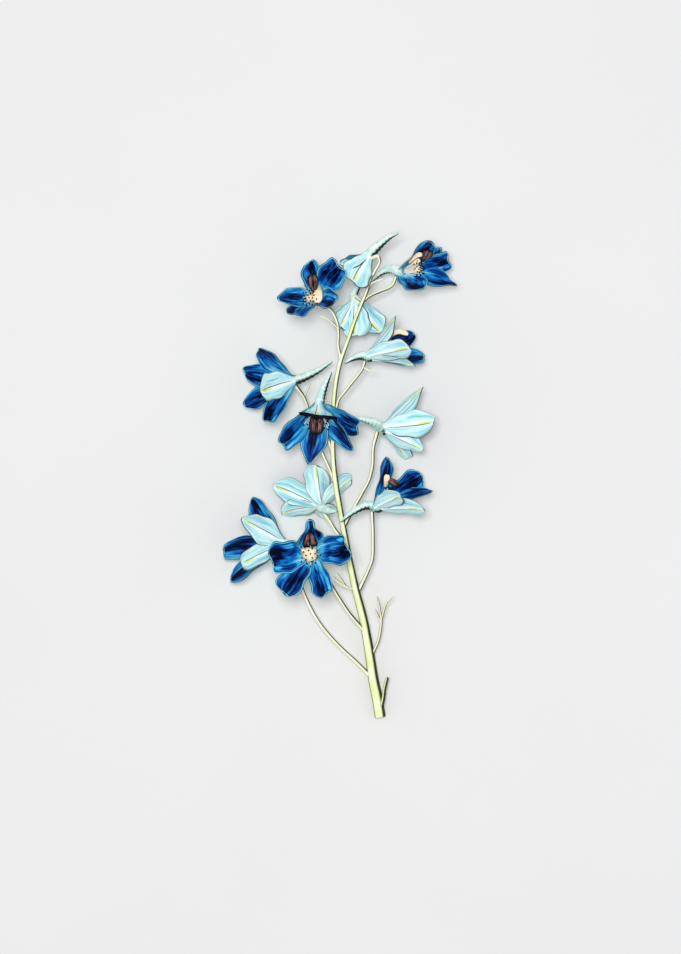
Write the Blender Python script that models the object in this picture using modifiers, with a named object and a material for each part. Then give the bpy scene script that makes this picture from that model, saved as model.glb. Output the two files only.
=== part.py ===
"""A cut delphinium flower spike lying on its back: one branching stem and twelve spurred blooms.

Units are millimetres in the tables and metres in the mesh. +X runs across the spike, +Y runs
from the cut end to the top bloom and +Z points up from the surface that the spike lies on.
"""

import math
from dataclasses import dataclass

import bmesh
import bpy
from mathutils import Matrix, Vector

MM = 0.001

# Driving sizes, in millimetres, and angles
PETAL_THICKNESS = 0.6
MEETING_GAP = 0.3
WELD_DISTANCE = 0.005
FLAT_ANGLE = math.radians(1)
SMOOTH_ANGLE = math.radians(40)
SURFACE_HEIGHT = 0.0

# How far out of the bloom's axis its sepals start
CLAW_OFFSET = 1.8

# The dark centre: its places are given as forward and up in its bloom
BEE_LENGTH = 11.0
BEE_BELOW_HOOD = math.radians(20)
BEE_LEAST_LEAN = math.radians(20)
BEE_ROOT = (2.65, 1.45)
BEE_WIDTH = 5.8
BEE_ARCH = 0.2
BEE_NOTCH = 0.18

# How much a bee with its own place looks out of its bloom, against straight up
BEE_LOOK = 0.7

# The cream heart: forward and half thickness of its core, then places as forward, up and across
HEART_START = 2.6
HEART_CORE = ((0.0, 0.8), (0.9, 1.1), (2.0, 1.5), (2.8, 0.9))
HEART_DROOP = 0.1
CREAM_ROOT = (3.25, 0.0, 0.6)
CREAM_TIP = (6.55, 0.5, 2.9)
CREAM_WIDTH = 2.8
CREAM_CUP = 0.5
CREAM_LOOK = 0.6
STAMENS = 5
STAMEN_SIDES = 4
STAMEN_ROOT = 3.85
STAMEN_END = 6.75
STAMEN_ROOT_SPREAD = 0.8
STAMEN_SPREADS = (1.9, 1.2)
STAMEN_DROOP = 0.6
ANTHER_RADIUS = 0.62
FILAMENT_RADIUS = 0.34

# The receptacle in front of the bloom's centre, then half thicknesses from there to the spur's tip
RECEPTACLE_FRONT = (2.0, 1.0)
SPUR_RADII = (1.0, 1.85, 2.07, 1.93, 1.73, 1.48, 1.2, 0.9, 0.5)
SPUR_STEPS = 2
SPUR_RADIUS_NEAR_STALK = 2.15
STALK_SETBACK = 1.8

# Where along a blade its rim starts to rise, how many ripples its margins have and how far they
# run askew from one margin to the other
CUP_START = 0.1
RIPPLES = 1.5
RIPPLE_SKEW = 0.25

# Cells across and along a blade, and how round a tube is, from 0 for four sides
SEPAL_CELLS = (4, 4)
BEE_CELLS = (4, 3)
CREAM_CELLS = (1, 2)
AXIS_ROUNDNESS = 3
BRANCH_ROUNDNESS = 1
BRACT_ROUNDNESS = 0

# How wide a sepal is along its length, as shares of its full width
SEPAL_PROFILE = ((0.0, 0.2), (0.25, 0.62), (0.5, 1.0), (0.72, 0.93), (0.88, 0.6), (1.0, 0.07))
BLUNT_PROFILE = ((0.0, 0.2), (0.3, 0.55), (0.6, 0.9), (0.82, 1.0), (1.0, 0.6))
CREAM_PROFILE = ((0.0, 0.4), (0.5, 0.8), (0.8, 1.0), (1.0, 0.5))
BEE_PROFILE = ((0.0, 0.2), (0.35, 0.55), (0.65, 1.0), (0.85, 0.85), (1.0, 0.25))


@dataclass
class Sepal:
    """One sepal: where its tip lies, how wide it is and how it curves."""

    tip: tuple
    width: float = 11.0
    cup: float = 1.0
    arch: float = 0.4
    roll: float = 10.0
    wave: float = 0.35
    blunt: bool = False


@dataclass
class Bee:
    """The dark centre of a bloom: where it starts, where it ends and how wide it is."""

    root: tuple
    tip: tuple
    width: float


@dataclass
class Bloom:
    """One bloom: its centre, the way it looks, its spur, its five sepals and what its mouth holds.

    A bloom without its own bee has one that leans under its hood, and one without a place for its
    heart holds it straight ahead.
    """

    centre: tuple
    facing: tuple
    spur: tuple
    sepals: tuple
    bee: Bee | None = None
    heart: tuple | None = None


BLOOMS = (
    Bloom(
        (-9.7, 74.8, 19.0), (-0.25, 0.3, 0.92),
        ((-10.7, 75.4, 13.0), (-10.6, 77.4, 8.0), (-9.6, 79.4, 4.6)),
        (
            Sepal((-12.2, 90.1, 24.5), 8.8, 1.4), Sepal((-26.3, 73.9, 26.5), 11.2),
            Sepal((0.4, 87.6, 30.0), 12.0), Sepal((-19.2, 67.0, 32.5), 10.0),
            Sepal((-1.8, 72.3, 33.0), 8.6, 2.0, roll=0.0),
        ),
        Bee((-10.8, 76.4, 23.6), (-11.6, 85.2, 27.4), 4.6), (-12.9, 74.2, 26.5),
    ),
    Bloom(
        (11.3, 92.0, 20.0), (-0.68, -0.72, -0.1),
        ((15.4, 96.0, 22.0), (19.8, 99.6, 23.6), (24.1, 101.6, 24.0)),
        (
            Sepal((1.4, 88.6, 11.5), 7.6), Sepal((5.2, 80.6, 29.0), 13.0),
            Sepal((0.6, 88.4, 23.0), 9.0, roll=0.0), Sepal((9.6, 79.6, 17.6), 9.0),
            Sepal((6.6, 83.0, 10.0), 8.4),
        ),
    ),
    Bloom(
        (26.0, 85.7, 15.0), (0.72, 0.02, 0.69),
        ((21.8, 87.2, 12.6), (17.8, 86.0, 10.6), (13.0, 81.9, 9.2)),
        (
            Sepal((37.4, 98.2, 24.0), 9.2, 1.8, roll=0.0), Sepal((42.6, 95.2, 12.5), 8.6, roll=20.0),
            Sepal((34.0, 78.2, 27.0), 10.0, roll=35.0), Sepal((46.3, 90.6, 12.5), 9.6, roll=25.0),
            Sepal((49.5, 79.8, 16.0), 9.8, roll=-25.0),
        ),
        Bee((34.4, 90.2, 19.6), (38.0, 95.0, 22.4), 4.6), (32.8, 86.9, 20.5),
    ),
    Bloom(
        (7.6, 73.1, 9.0), (-0.05, -0.9, -0.42),
        ((5.6, 75.8, 8.4), (7.2, 79.4, 7.2), (11.0, 84.6, 5.8)),
        (
            Sepal((6.0, 58.4, 13.6), 12.0, roll=15.0), Sepal((16.6, 60.6, 12.0), 12.0, roll=20.0),
            Sepal((-2.3, 68.0, 1.5), 8.4, roll=-30.0), Sepal((-0.2, 62.3, 10.6), 10.0, roll=-15.0),
            Sepal((18.0, 64.6, 3.0), 9.4, roll=35.0),
        ),
    ),
    Bloom(
        (12.6, 50.0, 17.0), (0.94, 0.28, 0.18),
        ((9.2, 50.6, 17.4), (5.8, 49.6, 18.0), (2.3, 47.5, 19.4)),
        (
            Sepal((23.2, 66.6, 20.5), 9.6, 1.6, roll=25.0), Sepal((31.4, 60.0, 10.0), 9.6, roll=15.0),
            Sepal((29.2, 53.6, 30.5), 10.0), Sepal((35.9, 50.0, 9.5), 10.4, roll=-5.0),
            Sepal((31.2, 46.4, 21.0), 9.6, roll=-15.0),
        ),
        Bee((21.7, 56.9, 17.2), (29.0, 57.8, 20.0), 4.4), (20.6, 52.8, 18.6),
    ),
    Bloom(
        (-20.6, 39.9, 15.0), (-0.93, -0.16, 0.32),
        ((-15.8, 41.4, 13.2), (-9.8, 44.2, 11.8), (-3.6, 48.1, 11.0)),
        (
            Sepal((-34.6, 53.1, 20.0), 10.6, roll=25.0), Sepal((-40.8, 44.1, 8.0), 10.0, roll=5.0),
            Sepal((-33.0, 35.1, 31.5), 12.0), Sepal((-40.3, 30.1, 8.0), 10.0, roll=5.0),
            Sepal((-30.6, 22.4, 20.5), 9.8, roll=-40.0),
        ),
        Bee((-24.6, 40.6, 18.6), (-31.4, 39.0, 21.8), 5.0), (-28.0, 38.8, 15.8),
    ),
    Bloom(
        (-9.2, 28.6, 19.0), (0.08, -0.8, 0.6),
        ((-8.2, 33.0, 17.0), (-6.2, 38.4, 17.0), (-3.8, 43.3, 18.4)),
        (
            Sepal((-9.4, 25.0, 29.5), 16.0, 2.4, blunt=True), Sepal((-24.4, 12.8, 26.5), 11.6),
            Sepal((7.6, 20.6, 29.5), 11.0, roll=-35.0), Sepal((-13.0, 4.9, 17.0), 11.4),
            Sepal((5.5, 10.9, 20.0), 10.8),
        ),
        Bee((-9.7, 25.2, 24.2), (-10.0, 17.0, 27.8), 6.1), (-9.5, 21.2, 22.2),
    ),
    Bloom(
        (18.5, 19.3, 13.0), (0.95, -0.02, -0.3),
        ((14.4, 22.2, 15.0), (10.0, 23.8, 16.0), (5.9, 24.4, 16.2)),
        (
            Sepal((35.1, 37.4, 14.0), 9.4, roll=15.0), Sepal((39.4, 22.8, 21.0), 11.0),
            Sepal((29.4, 27.2, 0.8), 9.0, roll=0.0), Sepal((35.4, 10.8, 16.0), 10.0, roll=-15.0),
            Sepal((28.6, 7.2, 1.0), 9.0, roll=-40.0),
        ),
    ),
    Bloom(
        (16.0, -13.4, 16.0), (0.75, 0.58, 0.31),
        ((11.2, -12.2, 17.2), (5.9, -14.7, 18.0), (0.4, -18.9, 18.4)),
        (
            Sepal((20.0, 7.6, 20.0), 9.6, 1.8, roll=-15.0), Sepal((34.6, -0.4, 8.0), 11.0, roll=30.0),
            Sepal((25.6, -8.2, 31.0), 9.6, roll=5.0), Sepal((38.4, -5.7, 13.0), 8.6, roll=-20.0),
            Sepal((35.0, -13.9, 22.5), 10.0, roll=-40.0),
        ),
        Bee((18.8, -1.0, 19.3), (25.0, -4.2, 23.6), 3.2), (21.8, -7.4, 19.4),
    ),
    Bloom(
        (-8.8, -12.6, 11.5), (-0.25, 0.48, -0.84),
        ((-7.0, -13.6, 15.6), (-4.4, -14.6, 20.0), (-1.3, -14.7, 24.4)),
        (
            Sepal((-10.4, 4.6, 7.0), 12.0), Sepal((-27.8, -4.2, 5.0), 10.6),
            Sepal((5.0, -0.8, 3.6), 9.2), Sepal((-24.7, -15.6, 0.5), 9.4, roll=0.0),
            Sepal((-4.0, -16.5, 0.8), 8.6),
        ),
    ),
    Bloom(
        (-25.2, -28.1, 11.0), (-0.95, 0.14, 0.16),
        ((-20.0, -29.4, 9.6), (-14.6, -31.8, 7.8), (-10.1, -35.3, 5.8)),
        (
            Sepal((-37.3, -9.4, 10.0), 10.0, 1.8, roll=-30.0),
            Sepal((-41.0, -17.9, 27.5), 12.4, roll=-20.0), Sepal((-49.6, -31.5, 3.0), 11.4),
            Sepal((-41.6, -37.4, 25.5), 9.8, roll=40.0), Sepal((-46.0, -43.6, 9.0), 9.4, roll=-20.0),
        ),
        Bee((-29.2, -26.8, 14.4), (-36.2, -25.8, 16.0), 4.8), (-31.6, -27.4, 11.2),
    ),
    Bloom(
        (-12.2, -32.3, 22.5), (-0.02, -0.12, 0.99),
        ((-10.9, -30.2, 17.4), (-8.4, -27.7, 12.0), (-5.5, -25.6, 8.4)),
        (
            Sepal((-12.4, -18.4, 30.5), 12.4, 1.8), Sepal((-29.6, -35.2, 31.0), 13.4),
            Sepal((4.2, -29.4, 31.5), 13.6), Sepal((-24.7, -49.2, 31.0), 12.4),
            Sepal((-5.7, -49.8, 31.5), 11.0),
        ),
        Bee((-12.5, -29.4, 26.6), (-12.8, -23.0, 30.8), 6.4), (-13.1, -32.8, 29.2),
    ),
)

# The main axis from its cut end to the top: place, then half thickness
AXIS = (
    ((17.0, -101.6, 2.2), 2.15), ((15.8, -94.1, 2.5), 2.1), ((14.1, -85.7, 3.2), 2.0),
    ((12.2, -73.1, 4.8), 1.85), ((9.9, -60.5, 7.2), 1.65), ((6.7, -47.9, 9.6), 1.5),
    ((4.0, -35.3, 11.6), 1.3), ((0.4, -16.0, 13.0), 1.2), ((-1.7, -3.4, 13.8), 1.15),
    ((-2.9, 9.7, 14.4), 1.05), ((-2.7, 29.0, 15.0), 1.0), ((-1.5, 40.3, 15.4), 0.95),
    ((0.4, 48.7, 15.8), 0.9), ((3.4, 57.1, 16.2), 0.82), ((6.3, 65.5, 16.8), 0.78),
    ((9.7, 73.9, 17.4), 0.72),
)

# Each bloom's stalk from the axis towards its bloom: half thickness, then its places
STALKS = {
    1: (0.62, ((0.4, 49.4, 15.8), (-0.8, 55.0, 15.6), (-0.6, 59.2, 15.2), (-1.2, 64.4, 14.6),
               (-3.6, 69.6, 14.2))),
    2: (0.6, ((9.6, 73.6, 17.4), (11.3, 77.7, 19.2), (12.8, 82.4, 21.0), (14.8, 86.2, 22.6),
              (16.6, 89.6, 24.2), (15.8, 92.0, 25.0))),
    3: (0.6, ((9.6, 73.4, 17.4), (12.6, 75.6, 16.6), (17.0, 77.6, 15.0), (21.6, 79.8, 13.8))),
    4: (0.6, ((9.4, 72.6, 17.2), (9.0, 73.4, 14.6))),
    5: (0.62, ((-1.9, 27.0, 14.8), (-0.6, 31.9, 15.4), (1.6, 34.9, 15.6), (4.2, 38.2, 15.6),
               (7.6, 42.4, 15.4), (9.6, 45.4, 15.4))),
    6: (0.62, ((-2.1, -3.4, 13.6), (-4.2, 2.5, 12.6), (-7.6, 10.2, 11.2), (-11.8, 22.0, 10.4),
               (-14.6, 32.0, 11.2))),
    7: (0.62, ((-2.9, 8.4, 14.2), (-4.6, 14.6, 13.8), (-6.6, 20.6, 13.8))),
    8: (0.72, ((2.0, -20.5, 12.6), (6.1, -13.0, 11.6), (9.4, -7.0, 11.4), (12.2, -1.7, 11.6),
               (13.7, 4.5, 12.0), (14.0, 11.6, 12.2))),
    9: (0.72, ((8.2, -47.6, 9.2), (11.8, -39.9, 10.6), (13.7, -34.3, 11.4), (13.9, -26.6, 12.6),
               (13.8, -20.6, 13.4))),
    10: (0.68, ((1.2, -26.6, 12.4), (-1.6, -23.2, 13.2), (-3.8, -19.8, 13.6))),
    11: (0.7, ((12.6, -84.2, 3.6), (6.3, -77.9, 5.0), (-1.6, -70.4, 6.6), (-8.8, -61.7, 8.0),
               (-13.9, -52.5, 8.4), (-17.4, -43.5, 8.2), (-20.6, -36.4, 8.2))),
    12: (0.66, ((11.4, -66.4, 6.2), (4.6, -58.6, 9.6), (-0.8, -50.6, 12.6), (-5.4, -42.4, 15.6))),
}

# Thin bracts, their lobes and the cut leaf stub: half thickness at the root and the end, then places
BRACTS = (
    (0.62, 0.5, ((14.0, -74.5, 5.0), (16.3, -68.9, 6.4), (17.3, -63.0, 7.6), (17.4, -60.0, 8.2))),
    (0.5, 0.32, ((17.4, -60.4, 8.1), (19.3, -54.0, 9.2), (21.0, -51.8, 9.8), (22.4, -50.6, 10.4))),
    (0.5, 0.32, ((17.4, -60.4, 8.1), (16.5, -54.4, 9.6), (15.6, -50.8, 10.6))),
    (0.45, 0.32, ((17.3, -61.4, 7.8), (15.9, -58.6, 8.8), (14.8, -56.2, 9.4))),
    (0.5, 0.32, ((6.6, -47.6, 9.8), (2.6, -46.6, 11.0), (-1.6, -43.8, 11.6), (-2.8, -42.4, 11.8))),
    (0.42, 0.32, ((2.4, -46.5, 10.9), (0.4, -43.2, 12.2), (-1.4, -40.8, 13.2))),
    (0.85, 0.7, ((17.2, -99.0, 3.2), (18.3, -94.0, 4.4), (18.9, -89.4, 5.6), (19.9, -85.2, 7.0))),
    (0.5, 0.34, ((10.6, 75.2, 17.5), (12.2, 79.0, 18.6), (13.6, 81.0, 19.4), (17.6, 82.6, 20.0))),
    (0.36, 0.32, ((-15.4, 33.4, 11.6), (-13.6, 36.2, 12.6), (-12.6, 38.6, 13.4))),
    (0.36, 0.32, ((-0.7, 62.0, 15.0), (-4.6, 65.6, 16.0), (-8.4, 67.4, 16.6))),
    (0.36, 0.32, ((9.8, 45.8, 15.4), (12.6, 44.2, 16.4), (14.6, 44.4, 17.0))),
)

COLOURS = {
    "stem": (0.74, 0.79, 0.42),
    "calyx": (0.03, 0.16, 0.55),
    "bee": (0.09, 0.05, 0.05),
    "heart": (0.93, 0.84, 0.62),
}


def clear_scene():
    """Takes every object out of the scene."""
    for old in list(bpy.data.objects):
        bpy.data.objects.remove(old, do_unlink=True)


def new_collection(name):
    """A collection linked to the scene."""
    made = bpy.data.collections.new(name)
    bpy.context.scene.collection.children.link(made)
    return made


def new_material(name, colour):
    """A plain material with the colour of one kind of piece."""
    made = bpy.data.materials.new(name)
    made.use_nodes = True
    shader = made.node_tree.nodes["Principled BSDF"]
    shader.inputs["Base Color"].default_value = (*colour, 1.0)
    shader.inputs["Roughness"].default_value = 0.6
    shader.inputs["Metallic"].default_value = 0.0
    return made


def profile_at(profile, share):
    """The width that a profile gives at a share of the length."""
    for (start, low), (end, high) in zip(profile, profile[1:]):
        if share <= end:
            return low + (high - low) * (share - start) / (end - start)
    return profile[-1][1]


def smooth_path(points, steps):
    """Points along a smooth curve through the given ones, with a number of steps for each stretch."""
    ends = [points[0] * 2 - points[1], *points, points[-1] * 2 - points[-2]]
    path = []
    for index in range(1, len(ends) - 2):
        before, start, end, after = ends[index - 1:index + 3]
        for step in range(steps):
            t = step / steps
            path.append(
                start
                + (end - before) * (t / 2)
                + (before * 2 - start * 5 + end * 4 - after) * (t * t / 2)
                + (start * 3 - before - end * 3 + after) * (t ** 3 / 2)
            )
    path.append(points[-1].copy())
    return path


def mesh_object(name, mesh, collection):
    """A new object that holds a mesh, linked to a collection."""
    made = bpy.data.objects.new(name, mesh)
    collection.objects.link(made)
    return made


def evaluated_mesh(piece):
    """The mesh that an object shows with its modifiers or its bevel, welded where parts of it meet."""
    piece_now = piece.evaluated_get(bpy.context.evaluated_depsgraph_get())
    mesh = bpy.data.meshes.new_from_object(piece_now)
    shape = bmesh.new()
    shape.from_mesh(mesh)
    bmesh.ops.remove_doubles(shape, verts=shape.verts, dist=WELD_DISTANCE * MM)
    bmesh.ops.triangulate(shape, faces=shape.faces)
    shape.to_mesh(mesh)
    shape.free()
    return mesh


def solid_from(piece, name, collection):
    """A mesh object made from what another object shows, which then goes."""
    mesh = evaluated_mesh(piece)
    bpy.data.objects.remove(piece, do_unlink=True)
    return mesh_object(name, mesh, collection)


def tube(name, path, radii, roundness, collection):
    """A closed tapering tube along a path in millimetres."""
    curve = bpy.data.curves.new(name, "CURVE")
    curve.dimensions = "3D"
    curve.bevel_depth = MM
    curve.bevel_resolution = roundness
    curve.use_fill_caps = True
    line = curve.splines.new("POLY")
    line.points.add(len(path) - 1)
    for point, place, radius in zip(line.points, path, radii):
        point.co = (*(place * MM), 1.0)
        point.radius = radius
    drawn = mesh_object(name + "_line", curve, collection)
    return solid_from(drawn, name, collection)


def sheet(name, cells, place_at, collection):
    """A curved blade of even thickness: a flat grid whose points go where a formula puts them."""
    shape = bmesh.new()
    bmesh.ops.create_grid(shape, x_segments=cells[0], y_segments=cells[1], size=1.0)
    for vert in shape.verts:
        vert.co = place_at((vert.co.y + 1) / 2, vert.co.x) * MM
    bmesh.ops.triangulate(shape, faces=shape.faces, quad_method="FIXED")
    mesh = bpy.data.meshes.new(name)
    shape.to_mesh(mesh)
    shape.free()
    blade = mesh_object(name + "_sheet", mesh, collection)
    wall = blade.modifiers.new("wall", "SOLIDIFY")
    wall.thickness = PETAL_THICKNESS * MM
    wall.offset = 0.0
    return solid_from(blade, name, collection)


def largest_body(mesh):
    """Leaves a mesh with its largest closed surface only, so that no scrap or sealed hollow stays."""
    shape = bmesh.new()
    shape.from_mesh(mesh)
    unseen = set(shape.faces)
    bodies = []
    while unseen:
        body = [unseen.pop()]
        for face in body:
            for edge in face.edges:
                for other in edge.link_faces:
                    if other in unseen:
                        unseen.remove(other)
                        body.append(other)
        bodies.append(body)
    bodies.sort(key=len)
    scraps = [face for body in bodies[:-1] for face in body]
    bmesh.ops.delete(shape, geom=scraps, context="FACES")
    bmesh.ops.dissolve_limit(
        shape, angle_limit=FLAT_ANGLE, verts=shape.verts, edges=shape.edges, delimit=set(),
    )
    bmesh.ops.triangulate(shape, faces=shape.faces)
    shape.to_mesh(mesh)
    shape.free()


def finished(solid, material):
    """Gives a solid its material and smooth shading."""
    solid.data.materials.append(material)
    solid.data.shade_smooth()
    solid.data.set_sharp_from_angle(angle=SMOOTH_ANGLE)
    return solid


def joined(name, pieces, collection, material):
    """One solid from several that cross, which then go."""
    group = new_collection(name + "_parts")
    first, others = pieces[0], pieces[1:]
    for other in others:
        collection.objects.unlink(other)
        group.objects.link(other)
    union = first.modifiers.new("union", "BOOLEAN")
    union.operation = "UNION"
    union.operand_type = "COLLECTION"
    union.collection = group
    union.solver = "EXACT"
    solid = solid_from(first, name, collection)
    for other in list(group.objects):
        bpy.data.objects.remove(other, do_unlink=True)
    bpy.data.collections.remove(group)
    largest_body(solid.data)
    return finished(solid, material)


class BloomFrame:
    """The axes of a bloom: forward out of its mouth, up toward its spurred sepal, and across."""

    def __init__(self, bloom, facing):
        self.centre = Vector(bloom.centre)
        self.forward = Vector(facing).normalized()
        rise = Vector(bloom.sepals[0].tip) - self.centre
        self.up = (rise - self.forward * rise.dot(self.forward)).normalized()
        self.across = self.forward.cross(self.up)
        self.hood_angle = self.forward.angle(rise)

    def at(self, forward, up, across=0.0):
        """A place given along the three axes."""
        return self.centre + self.forward * forward + self.up * up + self.across * across


def blade_formula(root, tip, inner, width, profile, arch, cup, wave):
    """A function that gives the place on a blade from a share of its length and of its half width."""
    chord = tip - root
    normal = (inner - chord * (inner.dot(chord) / chord.length_squared)).normalized()
    side = normal.cross(chord).normalized()
    middle = (root + tip) / 2 + normal * (arch * 2)

    def place(along, across):
        spine = root * (1 - along) ** 2 + middle * (2 * along * (1 - along)) + tip * along ** 2
        heading = (middle - root) * (1 - along) + (tip - middle) * along
        lift = heading.cross(side).normalized()
        half = width / 2 * profile_at(profile, along)
        rim = cup * across ** 2 * math.sin(math.pi * (CUP_START + (1 - CUP_START) * along))
        ripple = wave * abs(across) * math.sin(math.tau * (RIPPLES * along + RIPPLE_SKEW * across))
        return spine + side * (across * half) + lift * (rim + ripple)

    return place


def sepal_solid(name, frame, sepal, collection):
    """One sepal of a bloom."""
    tip = Vector(sepal.tip)
    rise = tip - frame.centre
    outward = (rise - frame.forward * rise.dot(frame.forward)).normalized()
    root = frame.centre + outward * CLAW_OFFSET
    inner = Matrix.Rotation(math.radians(sepal.roll), 3, rise) @ frame.forward
    profile = BLUNT_PROFILE if sepal.blunt else SEPAL_PROFILE
    formula = blade_formula(root, tip, inner, sepal.width, profile, sepal.arch, sepal.cup, sepal.wave)
    return sheet(name, SEPAL_CELLS, formula, collection)


def spur_solid(name, frame, bloom, collection):
    """The receptacle and the hollow spur behind it, as one tapering tube."""
    places = [frame.centre, *(Vector(place) for place in bloom.spur)]
    front = [frame.at(forward, 0.0) for forward in RECEPTACLE_FRONT]
    return tube(name, front + smooth_path(places, SPUR_STEPS), SPUR_RADII, BRANCH_ROUNDNESS, collection)


def calyx(name, frame, bloom, collection, material):
    """Five sepals grown together with the spur."""
    pieces = [spur_solid(name, frame, bloom, collection)]
    for index, sepal in enumerate(bloom.sepals):
        pieces.append(sepal_solid(f"{name}_sepal_{index}", frame, sepal, collection))
    return joined(name, pieces, collection, material)


def notched(formula, depth):
    """A blade formula whose far edge is cut back in the middle, so that it ends in two lobes."""

    def place(along, across):
        return formula(along * (1 - depth * (1 - abs(across)) * along), across)

    return place


def bee_under_hood(frame):
    """The dark centre of a bloom without its own: it leans under the hood."""
    lean = max(frame.hood_angle - BEE_BELOW_HOOD, BEE_LEAST_LEAN)
    tip = frame.at(BEE_LENGTH * math.cos(lean), BEE_LENGTH * math.sin(lean))
    return Bee(frame.at(*BEE_ROOT), tip, BEE_WIDTH)


def bee(name, frame, bloom, collection, material):
    """The two dark bearded petals in a bloom's mouth, side by side and grown together."""
    inner = frame.at(1.0, -1.0) - frame.centre
    form = bee_under_hood(frame)
    if bloom.bee:
        inner = frame.forward * BEE_LOOK + Vector((0.0, 0.0, 1.0))
        form = bloom.bee
    root, tip = Vector(form.root), Vector(form.tip)
    formula = blade_formula(root, tip, inner, form.width, BEE_PROFILE, BEE_ARCH, 0.0, 0.0)
    solid = sheet(name, BEE_CELLS, notched(formula, BEE_NOTCH), collection)
    return finished(solid, material)


def stamen(name, frame, turn, spread, collection):
    """One stamen: a thin rod that widens to its anther."""
    rise, reach = math.sin(turn), math.cos(turn)
    root = frame.at(STAMEN_ROOT, rise * STAMEN_ROOT_SPREAD, reach * STAMEN_ROOT_SPREAD)
    end = frame.at(STAMEN_END, rise * spread - STAMEN_DROOP, reach * spread)
    heading = end - root
    shape = bmesh.new()
    bmesh.ops.create_cone(
        shape, cap_ends=True, segments=STAMEN_SIDES, radius1=FILAMENT_RADIUS * MM,
        radius2=ANTHER_RADIUS * MM, depth=heading.length * MM,
    )
    bmesh.ops.triangulate(shape, faces=shape.faces)
    turned = heading.to_track_quat("Z", "Y").to_matrix().to_4x4()
    placed = Matrix.Translation((root + end) / 2 * MM) @ turned
    bmesh.ops.transform(shape, matrix=placed, verts=shape.verts)
    mesh = bpy.data.meshes.new(name)
    shape.to_mesh(mesh)
    shape.free()
    return mesh_object(name, mesh, collection)


def heart_frame(bloom, frame):
    """The axes of a bloom's heart, whose forward looks at where its anthers are."""
    if bloom.heart:
        return BloomFrame(bloom, Vector(bloom.heart) - frame.centre)
    return frame


def heart(name, frame, collection, material):
    """The cream upper petals and the stamens that stand between them, grown on one base."""
    path = [frame.at(HEART_START + forward, -forward * HEART_DROOP) for forward, _ in HEART_CORE]
    radii = [radius for _, radius in HEART_CORE]
    pieces = [tube(name, path, radii, BRANCH_ROUNDNESS, collection)]
    for side in (-1, 1):
        root = frame.at(*CREAM_ROOT[:2], side * CREAM_ROOT[2])
        tip = frame.at(*CREAM_TIP[:2], side * CREAM_TIP[2])
        inner = frame.at(1.0, 0.0, -side * CREAM_LOOK) - frame.centre
        formula = blade_formula(root, tip, inner, CREAM_WIDTH, CREAM_PROFILE, 0.0, CREAM_CUP, 0.0)
        pieces.append(sheet(f"{name}_petal_{side}", CREAM_CELLS, formula, collection))
    for index in range(STAMENS):
        turn = math.tau * (index + 0.5) / STAMENS
        spread = STAMEN_SPREADS[index % 2]
        pieces.append(stamen(f"{name}_stamen_{index}", frame, turn, spread, collection))
    return joined(name, pieces, collection, material)


def stalk_end(bloom, before, radius):
    """Where a stalk ends, just clear of the spur behind its bloom, on the side that it comes from."""
    centre = Vector(bloom.centre)
    back = (Vector(bloom.spur[0]) - centre).normalized()
    seat = centre + back * STALK_SETBACK
    rise = before - seat
    side = (rise - back * rise.dot(back)).normalized()
    slant = math.sin(side.angle(rise))
    return seat + side * (SPUR_RADIUS_NEAR_STALK + MEETING_GAP + radius * slant)


def stem(collection, material):
    """The main axis, the blooms' stalks, the thin bracts and the leaf stub, grown as one."""
    places = [Vector(place) for place, _ in AXIS]
    radii = [radius for _, radius in AXIS]
    pieces = [tube("stem", places, radii, AXIS_ROUNDNESS, collection)]
    for number, (radius, stalk) in STALKS.items():
        path = [Vector(place) for place in stalk]
        path.append(stalk_end(BLOOMS[number - 1], path[-1], radius))
        pieces.append(tube(f"stalk_{number}", path, [radius] * len(path), BRANCH_ROUNDNESS, collection))
    for index, (root_radius, end_radius, bract) in enumerate(BRACTS):
        path = [Vector(place) for place in bract]
        steps = len(path) - 1
        radii = [root_radius + (end_radius - root_radius) * step / steps for step in range(len(path))]
        pieces.append(tube(f"bract_{index}", path, radii, BRACT_ROUNDNESS, collection))
    return joined("stem", pieces, collection, material)


def settle(pieces):
    """Presses flat what reaches below the surface that the spike lies on."""
    for piece in pieces:
        for vert in piece.data.vertices:
            vert.co.z = max(vert.co.z, SURFACE_HEIGHT * MM)


def main():
    clear_scene()
    collection = new_collection("delphinium_flower_spike")
    finishes = {name: new_material(name, colour) for name, colour in COLOURS.items()}
    pieces = [stem(collection, finishes["stem"])]
    for number, bloom in enumerate(BLOOMS, 1):
        frame = BloomFrame(bloom, bloom.facing)
        name = f"bloom_{number:02d}"
        pieces.append(calyx(name + "_calyx", frame, bloom, collection, finishes["calyx"]))
        pieces.append(bee(name + "_bee", frame, bloom, collection, finishes["bee"]))
        pieces.append(heart(name + "_heart", heart_frame(bloom, frame), collection, finishes["heart"]))
    settle(pieces)


main()
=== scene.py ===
"""Looks of a cut delphinium flower spike lying on its back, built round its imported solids.

The tables are in millimetres in the part's own frame: +X across the spike, +Y toward its top and
+Z up from the surface that it lies on. Meshes are in metres.
"""

import logging
import math
import random
from dataclasses import dataclass
from enum import Enum
from typing import Callable, Sequence, Union

import bpy
from mathutils import Matrix, Vector


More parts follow.
